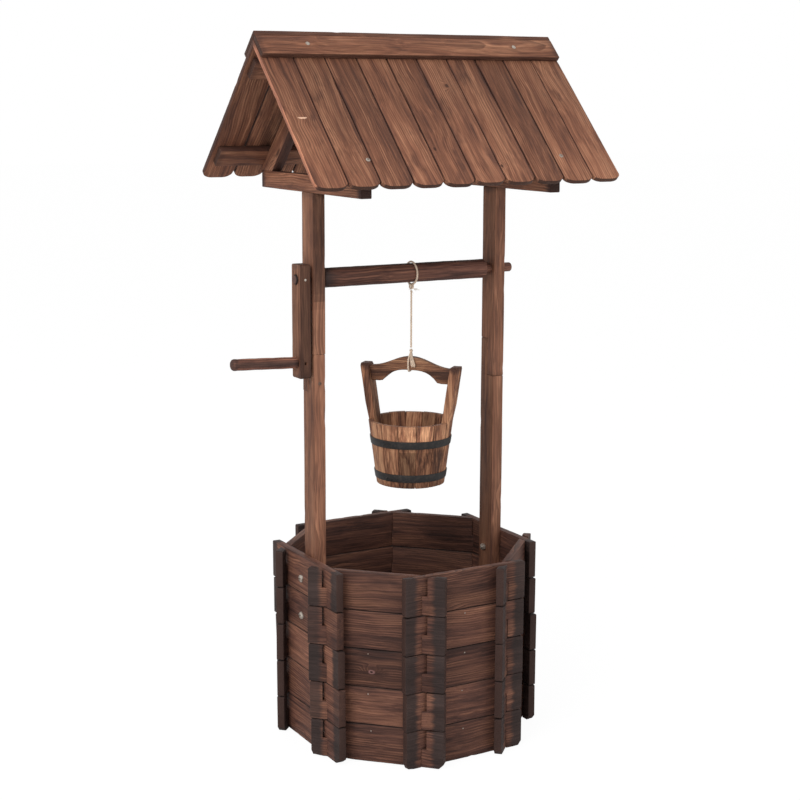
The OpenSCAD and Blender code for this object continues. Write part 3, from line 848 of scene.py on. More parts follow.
tub = {
    "innerReach": 176, "boardThick": 12.5, "boardHigh": 61.7, "coursePitch": 62,
    "corner": 78.08, "tail": 35.4, "slotFrom": 72.4, "slotTo": 91.08, "slotSlack": 6,
    "endCut": 1.5, "footCut": 8, "edgeRound": 1.2, "slice": 7, "stretchFrom": 98,
    "walls": ("right", "back_right", "back", "back_left",
              "left", "front_left", "front", "front_right"),
    # how far each course's board runs past its corner, from the ground up, at the left and
    # at the right seen from outside; the rest are about as long as "tail"
    "tails": {"left": ((24, 25, 28.5, 35.5, 38), (43, 42, 40, 36, 35)),
              "front_left": ((26, 28, 30, 31, 30), (35.4, 35.4, 35, 35.4, 35.4)),
              "front": ((27, 28, 30, 30, 30), (30, 30, 30.5, 31, 32)),
              "front_right": ((33, 32, 33, 34, 33), (30, 33, 31, 33, 32)),
              "right": ((31, 31, 31.5, 27, 25.5), (33, 31, 34, 32, 34))},
    "tailSlant": {"left": 4},    # how much longer such a tail is at its board's upper edge
    # lighter or darker boards, from the ground up
    "tones": {"left": (1.1, 1.0, 1.2, 0.95, 1.0), "front_left": (0.85, 1.0, 0.72, 0.92, 0.8),
              "front": (0.9, 1.1, 0.9, 1.0, 0.85)},
    "fresh": {"left": (0.1, 0.2, 0.5, -0.1, 0.3), "front_left": (0, 0.4, -0.3, 0.2, 0.2),
              "front": (0.1, 0.3, 0, 0.2, 0)},
    # char on a board's two ends where it isn't nearly full
    "burns": {"front_right": (0.9, 0.35), ("left", 3): (0.95, 0.1), ("left", 1): (0.95, 0.55),
              ("front_left", 3): (0.7, 0.95), ("front_left", 1): (0.75, 0.95),
              ("front", 4): (0.95, 0.9)},
    "knots": {("front_left", 2): (6.5, -5.9, -3.4), ("left", 4): (76.5, 16.6, -1.6)},
    # brads: wall, place along the wall, height
    "brads": (("front_left", 9.8, 178.4), ("front_left", 9.8, 112.5), ("front_left", 4.9, 51.7),
              ("front", 1.5, 240.9), ("front", 1.4, 176.1), ("front", 5.5, 114.0),
              ("front", 2.8, 50.3), ("front", -66.5, 181.9)),
    "bradOutline": ((0, 0.25), (0.7, 0.2), (1.0, 0), (1.0, -1.5), (0, -1.5)),
}


def wallBlank(slotOnTop, lowCut):
    # one board of the log-cabin wall, sawn along the boards that cross it
    half, thick, high = tub["corner"] + tub["tail"], tub["boardThick"], tub["boardHigh"]
    board = addBox((-half, 0, 0), (half, thick, high))
    low, top = (high / 2, high + 2) if slotOnTop else (-2, high / 2)
    reach = tub["slotTo"] + (tub["slotSlack"] if slotOnTop else 0)
    for side in (-1, 1):
        trimPast(board, (side * half, 0, high - tub["endCut"]), (side, 0, 1))
        trimPast(board, (side * half, 0, lowCut), (side, 0, -1))
        ends = sorted((side * tub["slotFrom"], side * reach))
        cutter = addBox((ends[0], -2, low), (ends[1], thick + 2, top))
        for v in cutter.data.vertices:
            v.co.x -= side * v.co.y
        cutAway(board, cutter)
    return sliceAlong(roundEdges(board, tub["edgeRound"]), axisX, tub["slice"])


def wallAxes(i, z=0):
    angle = math.radians(45 * i - 90)
    x, y = math.cos(angle), math.sin(angle)
    return boardAxes((-y * tub["innerReach"], x * tub["innerReach"], z), (x, y, 0), axisZ)


def ragTails(board, tails, slant, raised):
    # gives a wall board its own tails and lifts its lower edge
    start, high = tub["stretchFrom"] * mm, tub["boardHigh"] * mm
    full = (tub["corner"] + tub["tail"] - tub["stretchFrom"]) * mm
    for v in board.data.vertices:
        side = 1 if v.co.x > 0 else -1
        if abs(v.co.x) > start:
            tail = tails[0] + slant * (v.co.z / high - 0.5) if side > 0 else tails[1]
            v.co.x = side * lengthened(abs(v.co.x), start, full, (tail - tub["tail"]) * mm)
        v.co.z = raised + v.co.z * (1 - raised / high)


def addTub():
    draw = random.Random(11)
    blanks = {(top, foot): wallBlank(top, tub["footCut"] if foot else tub["endCut"])
              for top in (False, True) for foot in (False, True)}
    for i, wall in enumerate(tub["walls"]):
        boards = []
        for course in range(5):
            board = copyOf(blanks[i % 2 == 1, course == 0])
            raised, plainTail = draw.uniform(0.3, 0.8) * mm, tub["tail"] - draw.uniform(0, 2.5)
            tails = [row[course] for row in tub["tails"].get(wall, ((plainTail,) * 5,) * 2)]
            ragTails(board, tails, tub["tailSlant"].get(wall, 0) if course < 3 else 0, raised)
            seed, onTop = 10 * i + course, course == 4
            wander(weather(board, (9, 1.1), (0.35, 60), seed), 0.12, 8, seed + 0.5)
            tone = tub["tones"].get(wall, (0.85,) * 5)[course]
            grainOn(board, seed, {
                "tone": tone * draw.uniform(0.94, 1.06), "scorch": draw.uniform(-0.2, 0.2),
                "fresh": tub["fresh"].get(wall, (0,) * 5)[course], "burnReach": 24,
                "burn": tub["burns"].get((wall, course), tub["burns"].get(wall, (0.95, 0.95))),
                # the top course's up-facing edges are lighter as painted light from above, and
                # charred less
                "edgeTone": (1.35, 1.35, 0) if onTop else plainTimber["edgeTone"],
                "edgeBurn": 0.35 if onTop else plainTimber["edgeBurn"],
                "knot": tub["knots"].get((wall, course), plainTimber["knot"])})
            boards.append(place(board, wallAxes(i, course * tub["coursePitch"])))
        finishPiece(join(boards), "wall_" + wall, darkPine,
                    name="wall_" + wall + "Boards")
    for blank in blanks.values():
        bpy.data.objects.remove(blank)

    heads = [place(spun(tub["bradOutline"], 12),
                   wallAxes(tub["walls"].index(wall), z)
                   @ moved(along, tub["boardThick"] + 0.15, 0) @ turned(-90, "X"))
             for wall, along, z in tub["brads"]]
    finishPiece(join(heads), None, zinc, name="wallBrads", smooth=35)


def plainBoard(low, high, seed, look, edge=1.0):
    # a plain rectangular board along X, with its edges eased
    board = sliceAlong(roundEdges(addBox(low, high), edge), axisX, 10)
    return grainOn(weather(board, (5, 0.8), (0.3, 70), seed), seed, look)


floorShape = {"bearerWide": 30, "bearerHigh": 18, "bearerPitch": 95,
              "slatWide": 46, "slatThick": 12, "slatPitch": 50, "slatShort": 2,
              "inside": 175.5}


def addTubFloor():
    look = floorShape

    def strip(offset, wide, thick, short, seed):
        # a board that ends where it meets the slanting walls
        reach = look["inside"]
        half = min(reach, reach * math.sqrt(2) - abs(offset) - wide / 2) - short
        return plainBoard((-half, 0, -wide / 2), (half, thick, wide / 2), seed, {})

    bearers, slats = [], []
    for k in (-1, 0, 1):
        x = k * look["bearerPitch"]
        board = strip(x, look["bearerWide"], look["bearerHigh"], 0, 200 + k)
        bearers.append(place(board, boardAxes((x, 0, 0), (0, 1, 0), (1, 0, 0))))
    for k in range(7):
        y = (k - 3) * look["slatPitch"]
        board = strip(y, look["slatWide"], look["slatThick"], look["slatShort"], 210 + k)
        slats.append(place(board, boardAxes((0, y, look["bearerHigh"]), (1, 0, 0), (0, 1, 0))))
    slats = join(slats)
    for v in slats.data.vertices:
        v.co.z = max(v.co.z, look["bearerHigh"] * mm)
    finishPiece(join(bearers), "floor_bearers", darkPine, smooth=35)
    finishPiece(slats, "floor_slats", darkPine, smooth=35)


addTub()
addTubFloor()
print("tub built")


posts = {
    "x": 166, "y": 2.5, "thick": 20, "wide": 38, "foot": 124, "lapFrom": 577, "lapTo": 638,
    "top": 888, "boreZ": 755.5, "bore": 7.6, "edge": 1.3,
    "looks": {
        # the front and back faces' tones paint light and shade: lighter on the lower posts and the
        # upper right one, and on the upper left post lighter low down with painted shade above
        # about 720 mm
        "lower_post_left": {"tone": 0.98, "edgeTone": (2.0, 2.0, 0), "burn": (0.3, 0.2),
                            "burnReach": 8},
        "upper_post_left": {"tone": 1.0, "edgeTone": (1.6, 0.62, -13), "burn": (0.4, 0.3),
                            "burnReach": 12},
        "lower_post_right": {"tone": 0.75, "edgeTone": (2.0, 2.0, 0), "burn": (0.2, 0.2),
                             "burnReach": 8},
        "upper_post_right": {"tone": 0.98, "edgeTone": (1.7, 1.7, 0), "burn": (0.5, 0.4),
                             "burnReach": 12},
    },
}


def addPosts():
    thick, wide, bore = posts["thick"] / 2, posts["wide"] / 2, posts["boreZ"]
    for node, look in posts["looks"].items():
        side, lower = -1 if "left" in node else 1, "lower" in node
        if lower:
            low, high = posts["foot"], posts["lapTo"]
            lap = (posts["lapFrom"], high + 2)
        else:
            low, high = posts["lapFrom"], posts["top"]
            lap = (low - 2, posts["lapTo"])
        post = addBox((low, -thick, -wide), (high, thick, wide))
        cutBack = (side < 0) == lower       # the lower left post keeps its front half
        cutAway(post, addBox((lap[0], -thick - 2, 0 if cutBack else -wide - 2),
                             (lap[1], thick + 2, wide + 2 if cutBack else 0)))
        if not lower:
            cutAway(post, addRod((bore, -thick - 3, -posts["y"]),
                                 (bore, thick + 3, -posts["y"]), posts["bore"], 48))
        sliceAlong(roundEdges(post, posts["edge"]), axisX, 12)
        seed = 300 + 10 * side + lower
        grainOn(weather(post, (10, 0.9), (0.4, 90), seed), seed, look)
        place(post, boardAxes((side * posts["x"], posts["y"], 0), (0, 0, 1), (0, 1, 0)))
        finishPiece(post, node, postPine)


addPosts()
print("posts built")


roof = {
    "ridgeZ": 1117.27, "pitch": 45, "length": 532, "count": 10,
    "boardLong": 296, "boardThick": 8, "boardWide": 52.6, "cornerWide": 19, "cornerLong": 10.5,
    "stretchFrom": 220,
    "capHalf": 265, "capThick": 9, "capWide": 39,
    "battenHalf": 258, "battenThick": 12, "battenWide": 34, "battenFrom": (30, 221),
    "beamHalf": 170, "beamThick": 18, "beamZ": 888, "beamHigh": 27,
    "rafterTop": -20, "rafterWide": 30, "rafterBlank": 300,
    "tones": {"front": (1.0, 0.9, 0.88, 1.05, 0.98, 1.06, 1.0, 0.85, 1.0, 1.08),
              "back": (1.2, 1.1, 0.95, 1.0, 1.0, 1.05, 0.9, 1.0, 1.0, 1.0)},
    "backTone": 0.75,
    "fresh": {"front": (-0.1, 0.1, -0.1, 0.2, -0.1, 0.1, 0, -0.2, 0.15, 0.35),
              "back": (0, 0.2, -0.1, 0.1, 0, 0.2, 0, 0.1, -0.1, 0.2)},
    # knots on the front boards, by number: place along the ridge, place down the slope,
    # radius, which is below 0 for resin and below -5 for a painted highlight stretched across the
    # board
    "knots": {6: (30.8, 95.8, 2.6), 5: (-44.8, 225.8, 2.4), 7: (57.1, 262.5, 2.2),
              1: (-240.6, 159, -7.5)},
}


def slopeAxes(side, x=0):
    # the slope's own axes at the ridge: down the slope, and along the ridge
    out = -1 if side == "front" else 1
    pitch = math.radians(roof["pitch"])
    down = Vector((0, out * math.cos(pitch), -math.sin(pitch)))
    return down, Vector((out, 0, 0)), (x, 0, roof["ridgeZ"])


def roofBlank():
    pitch, long, wide = math.radians(roof["pitch"]), roof["boardLong"], roof["boardWide"] / 2
    blank = addBox((0, -roof["boardThick"], -wide), (long, 0, wide))
    trimPast(blank, (0, 0, 0), (-math.cos(pitch), -math.sin(pitch), 0))
    for corner in (-1, 1):
        bevelWhere(blank, roof["cornerWide"], 10,
                   lambda p: p.x > long - 1 and p.z * corner > wide - 1)
    end, flatter = long * mm, roof["cornerLong"] / roof["cornerWide"]
    for v in blank.data.vertices:     # the round corners are wider than they are long
        if v.co.x > end - (roof["cornerWide"] + 0.5) * mm:
            v.co.x = end - (end - v.co.x) * flatter
    return sliceAlong(roundEdges(blank, 1.0), axisX, 9)


def addRoofBoards():
    blank = roofBlank()
    start, long = roof["stretchFrom"] * mm, roof["boardLong"] * mm
    draw = random.Random(31)
    for side in ("front", "back"):
        for i in range(roof["count"]):
            board = copyOf(blank)
            shorter = draw.uniform(0, 2.5) * mm
            narrower = draw.uniform(0, 1.4) / (roof["boardWide"] / 2)
            for v in board.data.vertices:
                if v.co.x > start:
                    v.co.x = lengthened(v.co.x, start, long - start, -shorter)
                v.co.z *= 1 - narrower
            seed = 400 + i + (50 if side == "back" else 0)
            wander(weather(board, (9, 0.8), (0.35, 80), seed), 0.1, 9, seed + 0.5)
            x = (i - 4.5) * roof["length"] / roof["count"]
            # the wide faces run from darker near the ridge to lighter towards the eave: painted
            # light and shade
            look = {"tone": roof["tones"][side][i] * (1 if side == "front" else roof["backTone"]),
                    "fresh": roof["fresh"][side][i], "faceTone": (0.87, 1.24, 45),
                    "toneReach": 190, "burn": (0.05, 0.8), "burnReach": 22}
            if side == "front" and i == 0:     # painted light on the gable end's edge, which faces the light from the left; it is also left without char
                look.update({"edgeTone": (2.4, 2.4, 0), "edgeBurn": 0.0})
            if side == "front" and i + 1 in roof["knots"]:
                knotX, down, radius = roof["knots"][i + 1]
                look["knot"] = (down - roof["boardLong"] / 2, x - knotX, radius)
            down, width, origin = slopeAxes(side, x)
            place(grainOn(board, seed, look), boardAxes(origin, down, width))
            finishPiece(board, f"roof_board_{side}_{i + 1}", roofPine)
    bpy.data.objects.remove(blank)


def addRoofTrim():
    # ridge caps over the boards, battens under them
    battens = []
    thick, half = roof["boardThick"], roof["battenHalf"]
    for side in ("front", "back"):
        down, width, origin = slopeAxes(side)
        ridge = boardAxes(origin, -width, down)     # along the ridge, outwards, down the slope
        cap = plainBoard((-roof["capHalf"], 0, 0 if side == "front" else -roof["capThick"]),
                         (roof["capHalf"], roof["capThick"], roof["capWide"]), 500 + len(side),
                         {"fresh": 0.15, "burn": (0.5, 0.5), "burnReach": 12, "edgeBurn": 0.8,
                          "rimBurn": 0.25, "heart": (45, 10)}, edge=1.4)
        finishPiece(place(cap, ridge), "ridge_cap_" + side, roofPine)
        for start in roof["battenFrom"]:
            batten = plainBoard((-half, -thick - roof["battenThick"], start),
                                (half, -thick, start + roof["battenWide"]),
                                510 + start + len(side),
                                {"tone": 0.9, "burn": (0.5, 0.5), "burnReach": 14})
            for v in batten.data.vertices:
                v.co.y = min(v.co.y, -thick * mm)
            battens.append(place(batten, ridge))
    finishPiece(join(battens), "roof_battens", roofPine)


def addRoofFrames():
    # a tie beam and two rafters over each post
    pitch, half, thick = math.radians(roof["pitch"]), roof["beamHalf"], roof["beamThick"] / 2
    drop = Vector((0, 0, roof["beamZ"] + roof["beamHigh"] - roof["ridgeZ"]))
    for post, postName in ((-1, "left"), (1, "right")):
        x = post * posts["x"]
        beam = plainBoard((-half, -thick, 0), (half, thick, roof["beamHigh"]), 540 + post,
                          {"burn": (1.0, 1.0), "burnReach": 20}, edge=1.4)
        place(beam, boardAxes((x, 0, roof["beamZ"]), (0, 1, 0), (0, 0, 1)))
        finishPiece(beam, "tie_beam_" + postName, roofPine)
        for side in ("front", "back"):
            down, width, origin = slopeAxes(side, x)
            outward = width.cross(down)
            rafter = addBox((0, -thick, roof["rafterTop"] - roof["rafterWide"]),
                            (roof["rafterBlank"], thick, roof["rafterTop"]))
            trimPast(rafter, (0, 0, 0), (-math.cos(pitch), 0, -math.sin(pitch)))
            trimPast(rafter, (drop.dot(down), 0, drop.dot(outward)),
                     (math.sin(pitch), 0, -math.cos(pitch)))
            sliceAlong(roundEdges(rafter, 1.0), axisX, 12)
            seed = 560 + post * 3 + len(side)
            grainOn(knock(rafter, 5, 0.8, seed), seed,
                    {"tone": 0.8, "burn": (0.4, 0.4), "burnReach": 12})
            place(rafter, boardAxes(origin, down, outward))
            finishPiece(rafter, f"rafter_{postName}_{side}", roofPine)


addRoofBoards()
addRoofTrim()
addRoofFrames()
print("roof built")


windlass = {
    "axisZ": 755.5, "axleFrom": -155.4, "axleTo": 145, "axleRadius": 15.5, "axleChamfer": 3,
    "axleStep": 10, "tenonRadius": 7.5, "tenonFrom": -201, "tenonTo": 196.5,
    "armX": -189, "armThick": 18, "armWide": 30, "armLow": 601, "armHigh": 779, "armEase": 2,
    "pegZ": 625, "pegTilt": 2.5, "pegRadius": 9.2, "pegTenon": 6, "pegFrom": 9.6, "pegTo": 119.7,
    "pegRound": 5, "pinRadius": 2, "pinProud": 0.6, "pinLong": 14, "pinSunk": 1.8,
    "axleLook": {"fresh": -0.1, "burn": (0.2, 1.0), "burnReach": 78, "endTone": 3.0,
                 "faceTone": (1.0, 1.6, 50), "edgeTone": (0.95, 1.45, 50), "toneReach": 200,
                 "heart": (9, 12)},
    # the arm's front and back faces are painted darker: painted shade
    "armLook": {"tone": 0.85, "edgeTone": (0.62, 0.62, 0), "burn": (0.5, 0.5),
                "burnReach": 10},
    "pegLook": {"tone": 1.7, "burn": (0.6, 0.4), "burnReach": 10, "heart": (12, 8)},
}


def axleOutline(look):
    draw = random.Random(70)
    radius, cut, tenon = look["axleRadius"], look["axleChamfer"], look["tenonRadius"]
    low, high, start, end = (look[key] for key in ("axleFrom", "axleTo", "tenonFrom", "tenonTo"))
    outline = [(0, start), (tenon - 0.8, start), (tenon, start + 0.8), (tenon, low),
               (radius - cut, low), (radius, low + cut)]
    z = low + cut + look["axleStep"]
    while z < high - cut - look["axleStep"] / 2:
        outline.append((radius - draw.uniform(0, 0.25), z))
        z += look["axleStep"]
    return outline + [(radius, high - cut), (radius - cut, high), (tenon, high),
                      (tenon, end - 2), (tenon - 0.8, end - 0.5), (tenon - 2.5, end), (0, end)]


def crankArm(look):
    thick, wide, ease = look["armThick"] / 2, look["armWide"] / 2, look["armEase"]
    low, high, axis, pegZ = (look[key] for key in ("armLow", "armHigh", "axisZ", "pegZ"))
    arm = addBox((low, -thick, -wide), (high, thick, wide))
    for side in (-1, 1):
        trimPast(arm, (low, 0, side * (wide - ease)), (-1, 0, side))
        trimPast(arm, (high, 0, side * (wide - ease)), (1, 0, side))
    tilt = math.radians(look["pegTilt"])
    pegLine = Vector((math.sin(tilt), -math.cos(tilt), 0)) * 14
    pegPlace = Vector((pegZ, 0, 0))
    for start, end, radius, sides in (
            ((axis, -14, 0), (axis, 14, 0), look["tenonRadius"] + 0.15, 48),
            (pegPlace - pegLine, pegPlace + pegLine, look["pegTenon"] + 0.15, 48),
            ((pegZ, 0, -wide - 2), (pegZ, 0, -wide + 7), look["pinRadius"] + 0.2, 24)):
        cutAway(arm, addRod(start, end, radius, sides))
    sliceAlong(roundEdges(arm, 1.1), axisX, 12)
    grainOn(weather(arm, (8, 0.8), (0.3, 60), 73), 74, look["armLook"])
    return place(arm, boardAxes((look["armX"], 0, 0), (0, 0, 1), (0, 1, 0)))


def crankPeg(look):
    radius, bend, start, end = (look[key] for key in ("pegRadius", "pegRound", "pegFrom", "pegTo"))
    inner, tenon = -look["armThick"] / 2, look["pegTenon"]
    outline = [(0, inner), (tenon, inner), (tenon, start), (radius - 0.6, start),
               (radius, start + 0.8)]
    outline += [(radius - (0.35 if k % 3 == 1 else 0.1), start + 10 * k) for k in range(1, 11)]
    for k in range(7):
        angle = math.radians(15 * k)
        outline.append((radius - bend + bend * math.cos(angle),
                        end - bend + bend * math.sin(angle)))
    peg = wander(spun(outline + [(0, end)]), 0.2, 25, 75)
    grainOn(peg, 76, look["pegLook"], order=(2, 0, 1))
    return place(peg, moved(look["armX"], 0, look["pegZ"]) @ turned(look["pegTilt"] - 90, "Y"))


def addWindlass(look):
    axle = place(spun(axleOutline(look), 64), turned(90, "Y"))
    grainOn(wander(axle, 0.2, 30, 71), 72, look["axleLook"])
    place(axle, moved(0, 0, look["axisZ"]))
    finishPiece(axle, "axle", darkPine, "windlass", "windlassAxle")
    finishPiece(crankArm(look), "crank_arm", postPine, "windlass")
    finishPiece(crankPeg(look), "crank_peg", darkPine, "windlass")

    pins = []
    r, face = look["pinRadius"], -look["armWide"] / 2
    for z, front, sunk in ((look["axisZ"], look["pinProud"], 0),
                           (look["pegZ"], -look["pinSunk"], 4)):
        pin = spun([(0, sunk), (r - 0.7, sunk), (r - 0.1, sunk + 0.3), (r, sunk + 0.8),
                    (r, look["pinLong"]), (0, look["pinLong"])], 24)
        pins.append(place(pin, moved(look["armX"], face - front, z) @ turned(-90, "X")))
    finishPiece(join(pins), "crank_pins", zinc, "windlass", smooth=35)


addWindlass(windlass)
print("windlass built")


bucket = {
    "baseZ": 412, "rimZ": 516.5, "baseRadius": 55.5, "rimRadius": 69, "staveThick": 8,
    "count": 14, "seam": 0.5,
    "tones": {2: 0.6, 3: 0.5, 4: 1.1, 5: 1.0, 6: 0.5, 9: 0.9, 10: 0.95, 11: 1.15, 12: 1.2,
              13: 0.95},
    # how light they are below the upper hoop, beside above it
    "lowTones": {9: 0.85, 10: 0.75, 11: 0.28, 12: 0.5, 13: 0.6, 8: 0.8},
    "uprightWide": 29, "uprightThick": 12, "uprightTopZ": 606, "uprightTopRadius": 82,
    "uprightCorner": 4, "uprightProud": 0.6, "flare": 0.22, "flareHigh": 30,
    # the left upright's wide faces are painted darker and its narrow faces lighter: painted shade
    # and painted light
    "uprightLooks": {"left": {"tone": 0.6, "edgeTone": (1.9, 1.9, 0)}, "right": {}},
    "floorFrom": 419, "floorTo": 426, "plankPitch": 33, "plankWide": 32.6, "plankReach": 12.2,
    "hoopHigh": 13, "hoopThick": 1.2, "hoopZ": {"lower": 422, "upper": 478},
    "lapFrom": 244, "lapAngle": 24, "rivets": (249, 258),
    # the bow's lower and upper edge
    "bowThick": 13, "bowEnd": (577.5, 602.5), "bowMiddle": (597.5, 619.5),
    "bowArch": (47, 66), "bowPower": 3.2, "bowCuts": 40,
}


def bucketRadius(z):
    share = (z - bucket["baseZ"]) / (bucket["rimZ"] - bucket["baseZ"])
    return bucket["baseRadius"] + (bucket["rimRadius"] - bucket["baseRadius"]) * share


def uprightFace(z):
    # how far out the outer face of an upright is, before its foot is rounded to the staves
    if z < bucket["rimZ"]:
        return bucketRadius(z)
    share = (z - bucket["rimZ"]) / (bucket["uprightTopZ"] - bucket["rimZ"])
    return bucket["rimRadius"] + (bucket["uprightTopRadius"] - bucket["rimRadius"]) * share


def finishBucketPiece(obj, node, smooth=30, name=None):
    return finishPiece(place(obj, bucketAxes()), node, bucketPine, "bucket",
                       name, smooth)


def addStaves(look):
    count, low, high, thick = (look[key] for key in ("count", "baseZ", "rimZ", "staveThick"))
    step, across = 360 / count, count // 2
    blank = spun([(look["baseRadius"] - thick, low), (look["baseRadius"], low),
                  (look["rimRadius"], high), (look["rimRadius"] - thick, high)],
                 4, -(step - look["seam"]) / 2, step - look["seam"])
    sliceAlong(roundEdges(blank, 0.8, angle=50), axisZ, 9)
    draw = random.Random(81)
    staves = []
    edge = look["uprightWide"] / 2 + 0.2
    for k in range(1, count):
        if k == across:
            continue
        stave = copyOf(blank)
        lower = draw.uniform(0, 1.2)
        for v in stave.data.vertices:
            v.co.z = low * mm + (v.co.z - low * mm) * (1 - lower / (high - low))
        weather(stave, (4, 0.6), (0.25, 40), 600 + k, axis=2)
        grainOn(stave, 610 + k, {"tone": look["tones"].get(k, 1) * draw.uniform(0.93, 1.07),
                                 "fresh": draw.uniform(0, 0.25), "burn": (0.2, 0.15),
                                 "faceTone": (look["lowTones"].get(k, 1), 1, 18),
                                 "burnReach": 12}, order=(2, 0, 1))
        place(stave, turned(k * step, "Z"))
        if k in (1, across - 1):
            trimPast(stave, (0, edge, 0), (0, -1, 0))
        if k in (count - 1, across + 1):
            trimPast(stave, (0, -edge, 0), (0, 1, 0))
        staves.append(stave)
    bpy.data.objects.remove(blank)
    finishBucketPiece(join(staves), "bucket_staves")


def addUprights(look):
    wide, top, corner = look["uprightWide"] / 2, look["uprightTopZ"], look["uprightCorner"]
    base, rim, radius = look["baseZ"], look["rimZ"], look["rimRadius"]
    flareTop = rim + look["flareHigh"]
    slope = bucketRadius(1) - bucketRadius(0)
    keep = [(0, base - 1), (look["baseRadius"] - slope, base - 1), (radius, rim),
            (radius + look["flare"] * look["flareHigh"], flareTop), (100, flareTop + 0.1),
            (100, top + 5), (0, top + 5)]
    for side, sideName in ((-1, "left"), (1, "right")):
        board = addBox((0, -wide, base), (1, wide, top))
        for cut in (-1, 1):
            trimPast(board, (0, cut * wide, top - corner), (0, cut, 1))
        with editing(board):
            bpy.ops.mesh.bisect(plane_co=at(0, 0, rim), plane_no=axisZ)
        for v in board.data.vertices:
            outer = uprightFace(v.co.z / mm)
            outside = v.co.x > 0.5 * mm
            v.co.x = (outer + look["uprightProud"] if outside
                      else outer - look["uprightThick"]) * mm
        cutAway(board, spun(keep, 120), "INTERSECT")
        sliceAlong(roundEdges(board, 0.9, angle=40), axisZ, 9)
        weather(board, (6, 0.7), (0.25, 50), 640 + side, axis=2)
        grainOn(board, 642 + side, {"edgeBurn": 0.3, "burn": (0.8, 0.4), "burnReach": 16,
                                    **look["uprightLooks"][sideName]}, order=(2, 0, 1))
        if side < 0:
            place(board, turned(180, "Z"))
        finishBucketPiece(board, "bucket_upright_" + sideName)


def addBow(look):
    # an arched bar between the uprights: its ends follow their slant
    thick = look["bowThick"] / 2
    bar = sliceAlong(addBox((-1, -thick, 0), (1, thick, 1)), axisX, 2 / look["bowCuts"])
    for v in bar.data.vertices:
        upper = 1 if v.co.z > 0.5 * mm else 0
        end, middle, arch = (look[key][upper] for key in ("bowEnd", "bowMiddle", "bowArch"))
        x = v.co.x / mm * (uprightFace(end) - look["uprightThick"])
        share = min(1, abs(x) / arch)
        hump = (1 + math.cos(math.pi * share)) / 2 if upper else 1 - share ** look["bowPower"]
        v.co.x, v.co.z = x * mm, (end + (middle - end) * hump) * mm
    wander(roundEdges(bar, 2.0, segments=3, angle=50), 0.25, 30, 650)
    grainOn(bar, 651, {"tone": 0.62, "scorch": 0.35, "burn": (0.3, 0.3), "burnReach": 12})
    finishBucketPiece(bar, "bucket_bow_handle", 40, "bucketBow")


def addBucketFloor(look):
    planks = []
    low, high, half = look["floorFrom"], look["floorTo"], look["plankWide"] / 2
    inner = look["staveThick"] + 0.1
    for k in (-1, 0, 1):
        middle = k * look["plankPitch"]
        plank = addBox((-60, middle - half, low), (60, middle + half, high))
        cutAway(plank, spun([(0, low - 1), (bucketRadius(low) - inner, low - 1),
                             (bucketRadius(high) - inner, high + 1), (0, high + 1)], 72),
                "INTERSECT")
        for side in (-1, 1):
            trimPast(plank, (side * (bucketRadius(low) - look["plankReach"]), 0, 0), (side, 0, 0))
        planks.append(grainOn(roundEdges(plank, 0.6, angle=50), 660 + k,
                              {"tone": 0.7, "burn": (0.5, 0.5)}, order=(0, 2, 1)))
    finishBucketPiece(join(planks), "bucket_floor")


def addHoops(look):
    dome = [(0, -1), (1.7, -1), (1.6, 0.2), (1.0, 0.8), (0, 1.0)]
    for name, z in look["hoopZ"].items():
        top, thick = z + look["hoopHigh"], look["hoopThick"]
        low, high, middle = bucketRadius(z), bucketRadius(top), z + look["hoopHigh"] / 2
        pieces = [spun([(low, z + 0.4), (low + thick, z + 0.4),
                        (bucketRadius(z + 1) + thick + 0.1, z + 1.4),
                        (high + thick + 0.1, top - 1.4), (high + thick - 0.3, top - 0.3),
                        (high, top - 0.3)], 96)]
        lap = spun([(low + thick - 0.2, z + 0.6), (low + thick + 0.7, z + 0.6),
                    (high + thick + 0.7, top - 0.6), (high + thick - 0.2, top - 0.6)],
                   8, look["lapFrom"], look["lapAngle"])
        pieces.append(roundEdges(lap, 0.25, angle=50))
        for angle in look["rivets"]:
            pieces.append(place(spun(dome, 16), turned(angle, "Z")
                                @ moved(bucketRadius(middle) + thick + 0.6, 0, middle)
                                @ turned(90, "Y")))
        hoop = place(wander(join(pieces), 0.15, 25, 670 + z), bucketAxes())
        finishPiece(hoop, "bucket_hoop_" + name, blackStrip, "bucket")


for addPart in (addStaves, addUprights, addBow, addBucketFloor, addHoops):
    addPart(bucket)
print("bucket built")


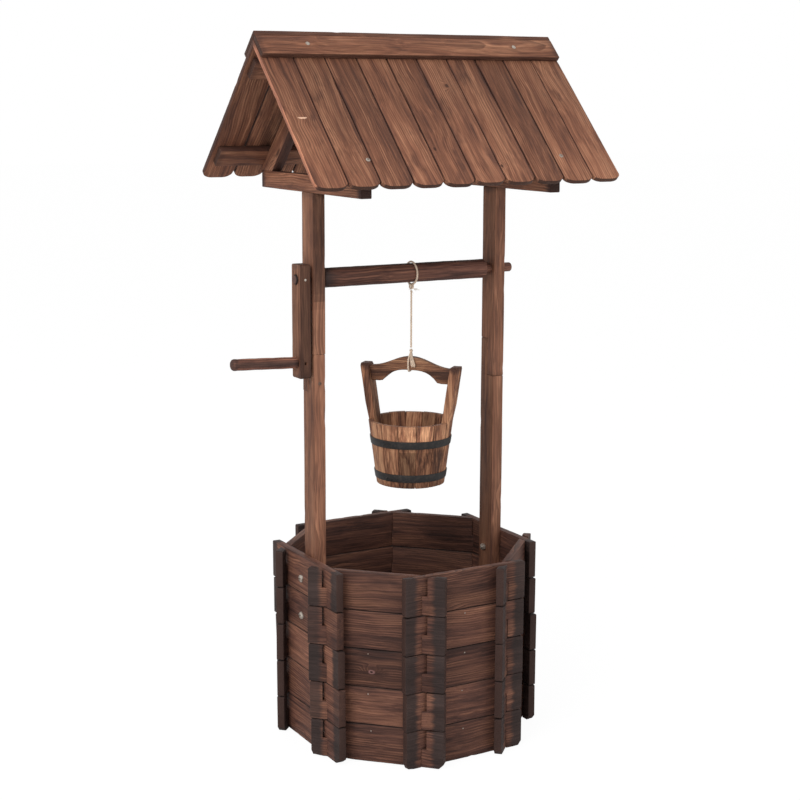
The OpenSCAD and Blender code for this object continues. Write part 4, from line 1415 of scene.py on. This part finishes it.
fasteners = {
    "boltHeads": {-1: ((9, 272), (9, 210)), 1: ((4, 279), (4, 217))},
    "boltX": 188.5, "boltRadius": 3, "boltHead": (6.2, 3.2), "nutX": 156, "nutAcross": 10,
    "nutThick": 5, "boltProud": 2,
    "lapScrews": ((-1, -1, 592), (-1, 1, 624), (1, 1, 592), (1, 1, 624)), "lapHead": (2.8, 0.5),
    "roofScrews": (-165, 174), "roofScrewAt": 244.5, "capNails": (-184, 185), "capNailAt": 17.5,
    "roofHead": (3.5, 1.1),
}


def crossHead(radius, high, recess=True):
    # a shallow countersunk head with a cross cut in it, its face up
    head = spun([(0, -3), (radius * 0.5, -3), (radius * 0.55, -0.6), (radius, 0),
                 (radius * 0.96, high * 0.55), (radius * 0.6, high), (0, high)], 28)
    wide, deep = radius * 0.14, high * 0.85
    for turn in (20, 110) if recess else ():
        slit = addBox((-radius * 0.6, -wide, high - deep), (radius * 0.6, wide, high + 1))
        slit.data.transform(turned(turn, "Z"))
        cutAway(head, slit)
    return head


def addFasteners(look):
    bolts = []
    inner, outer, thick = look["nutX"], look["boltX"], look["nutThick"]
    for side, places in look["boltHeads"].items():
        for y, z in places:
            head = wander(crossHead(*look["boltHead"]), 0.5, 3, y + z)
            place(head, moved(side * outer, y, z) @ turned(side * 90, "Y"))
            shank = addRod((side * (outer - 1), y, z),
                           (side * (inner - thick - look["boltProud"]), y, z),
                           look["boltRadius"], 24)
            nut = addRod((side * inner, y, z), (side * (inner - thick), y, z),
                         look["nutAcross"] / 2 / math.cos(math.radians(30)), 6)
            roundEdges(nut, 0.7)
            bolts += [head, roundEdges(shank, 0.6), nut]
    finishPiece(join(bolts), "post_bolts", zinc, smooth=35)

    screws = [place(crossHead(*look["lapHead"]),
                    moved(side * posts["x"], posts["y"] + face * posts["wide"] / 2, z)
                    @ turned(-90 * face, "X"))
              for side, face, z in look["lapScrews"]]
    finishPiece(join(screws), None, dullSteel, name="lapScrews", smooth=35)

    screws = []
    for side in ("front", "back"):
        down, width, origin = slopeAxes(side)
        slope = boardAxes(origin, down, width)
        for places, along, raised, recess in (
                (look["roofScrews"], look["roofScrewAt"], 0, True),
                (look["capNails"], look["capNailAt"], roof["capThick"], False)):
            for x in places:
                screws.append(place(crossHead(*look["roofHead"], recess),
                                    slope @ moved(along, raised, -x) @ turned(-90, "X")))
    finishPiece(join(screws), "wood_screws", zinc, smooth=35)


addFasteners(fasteners)
print("fasteners added")
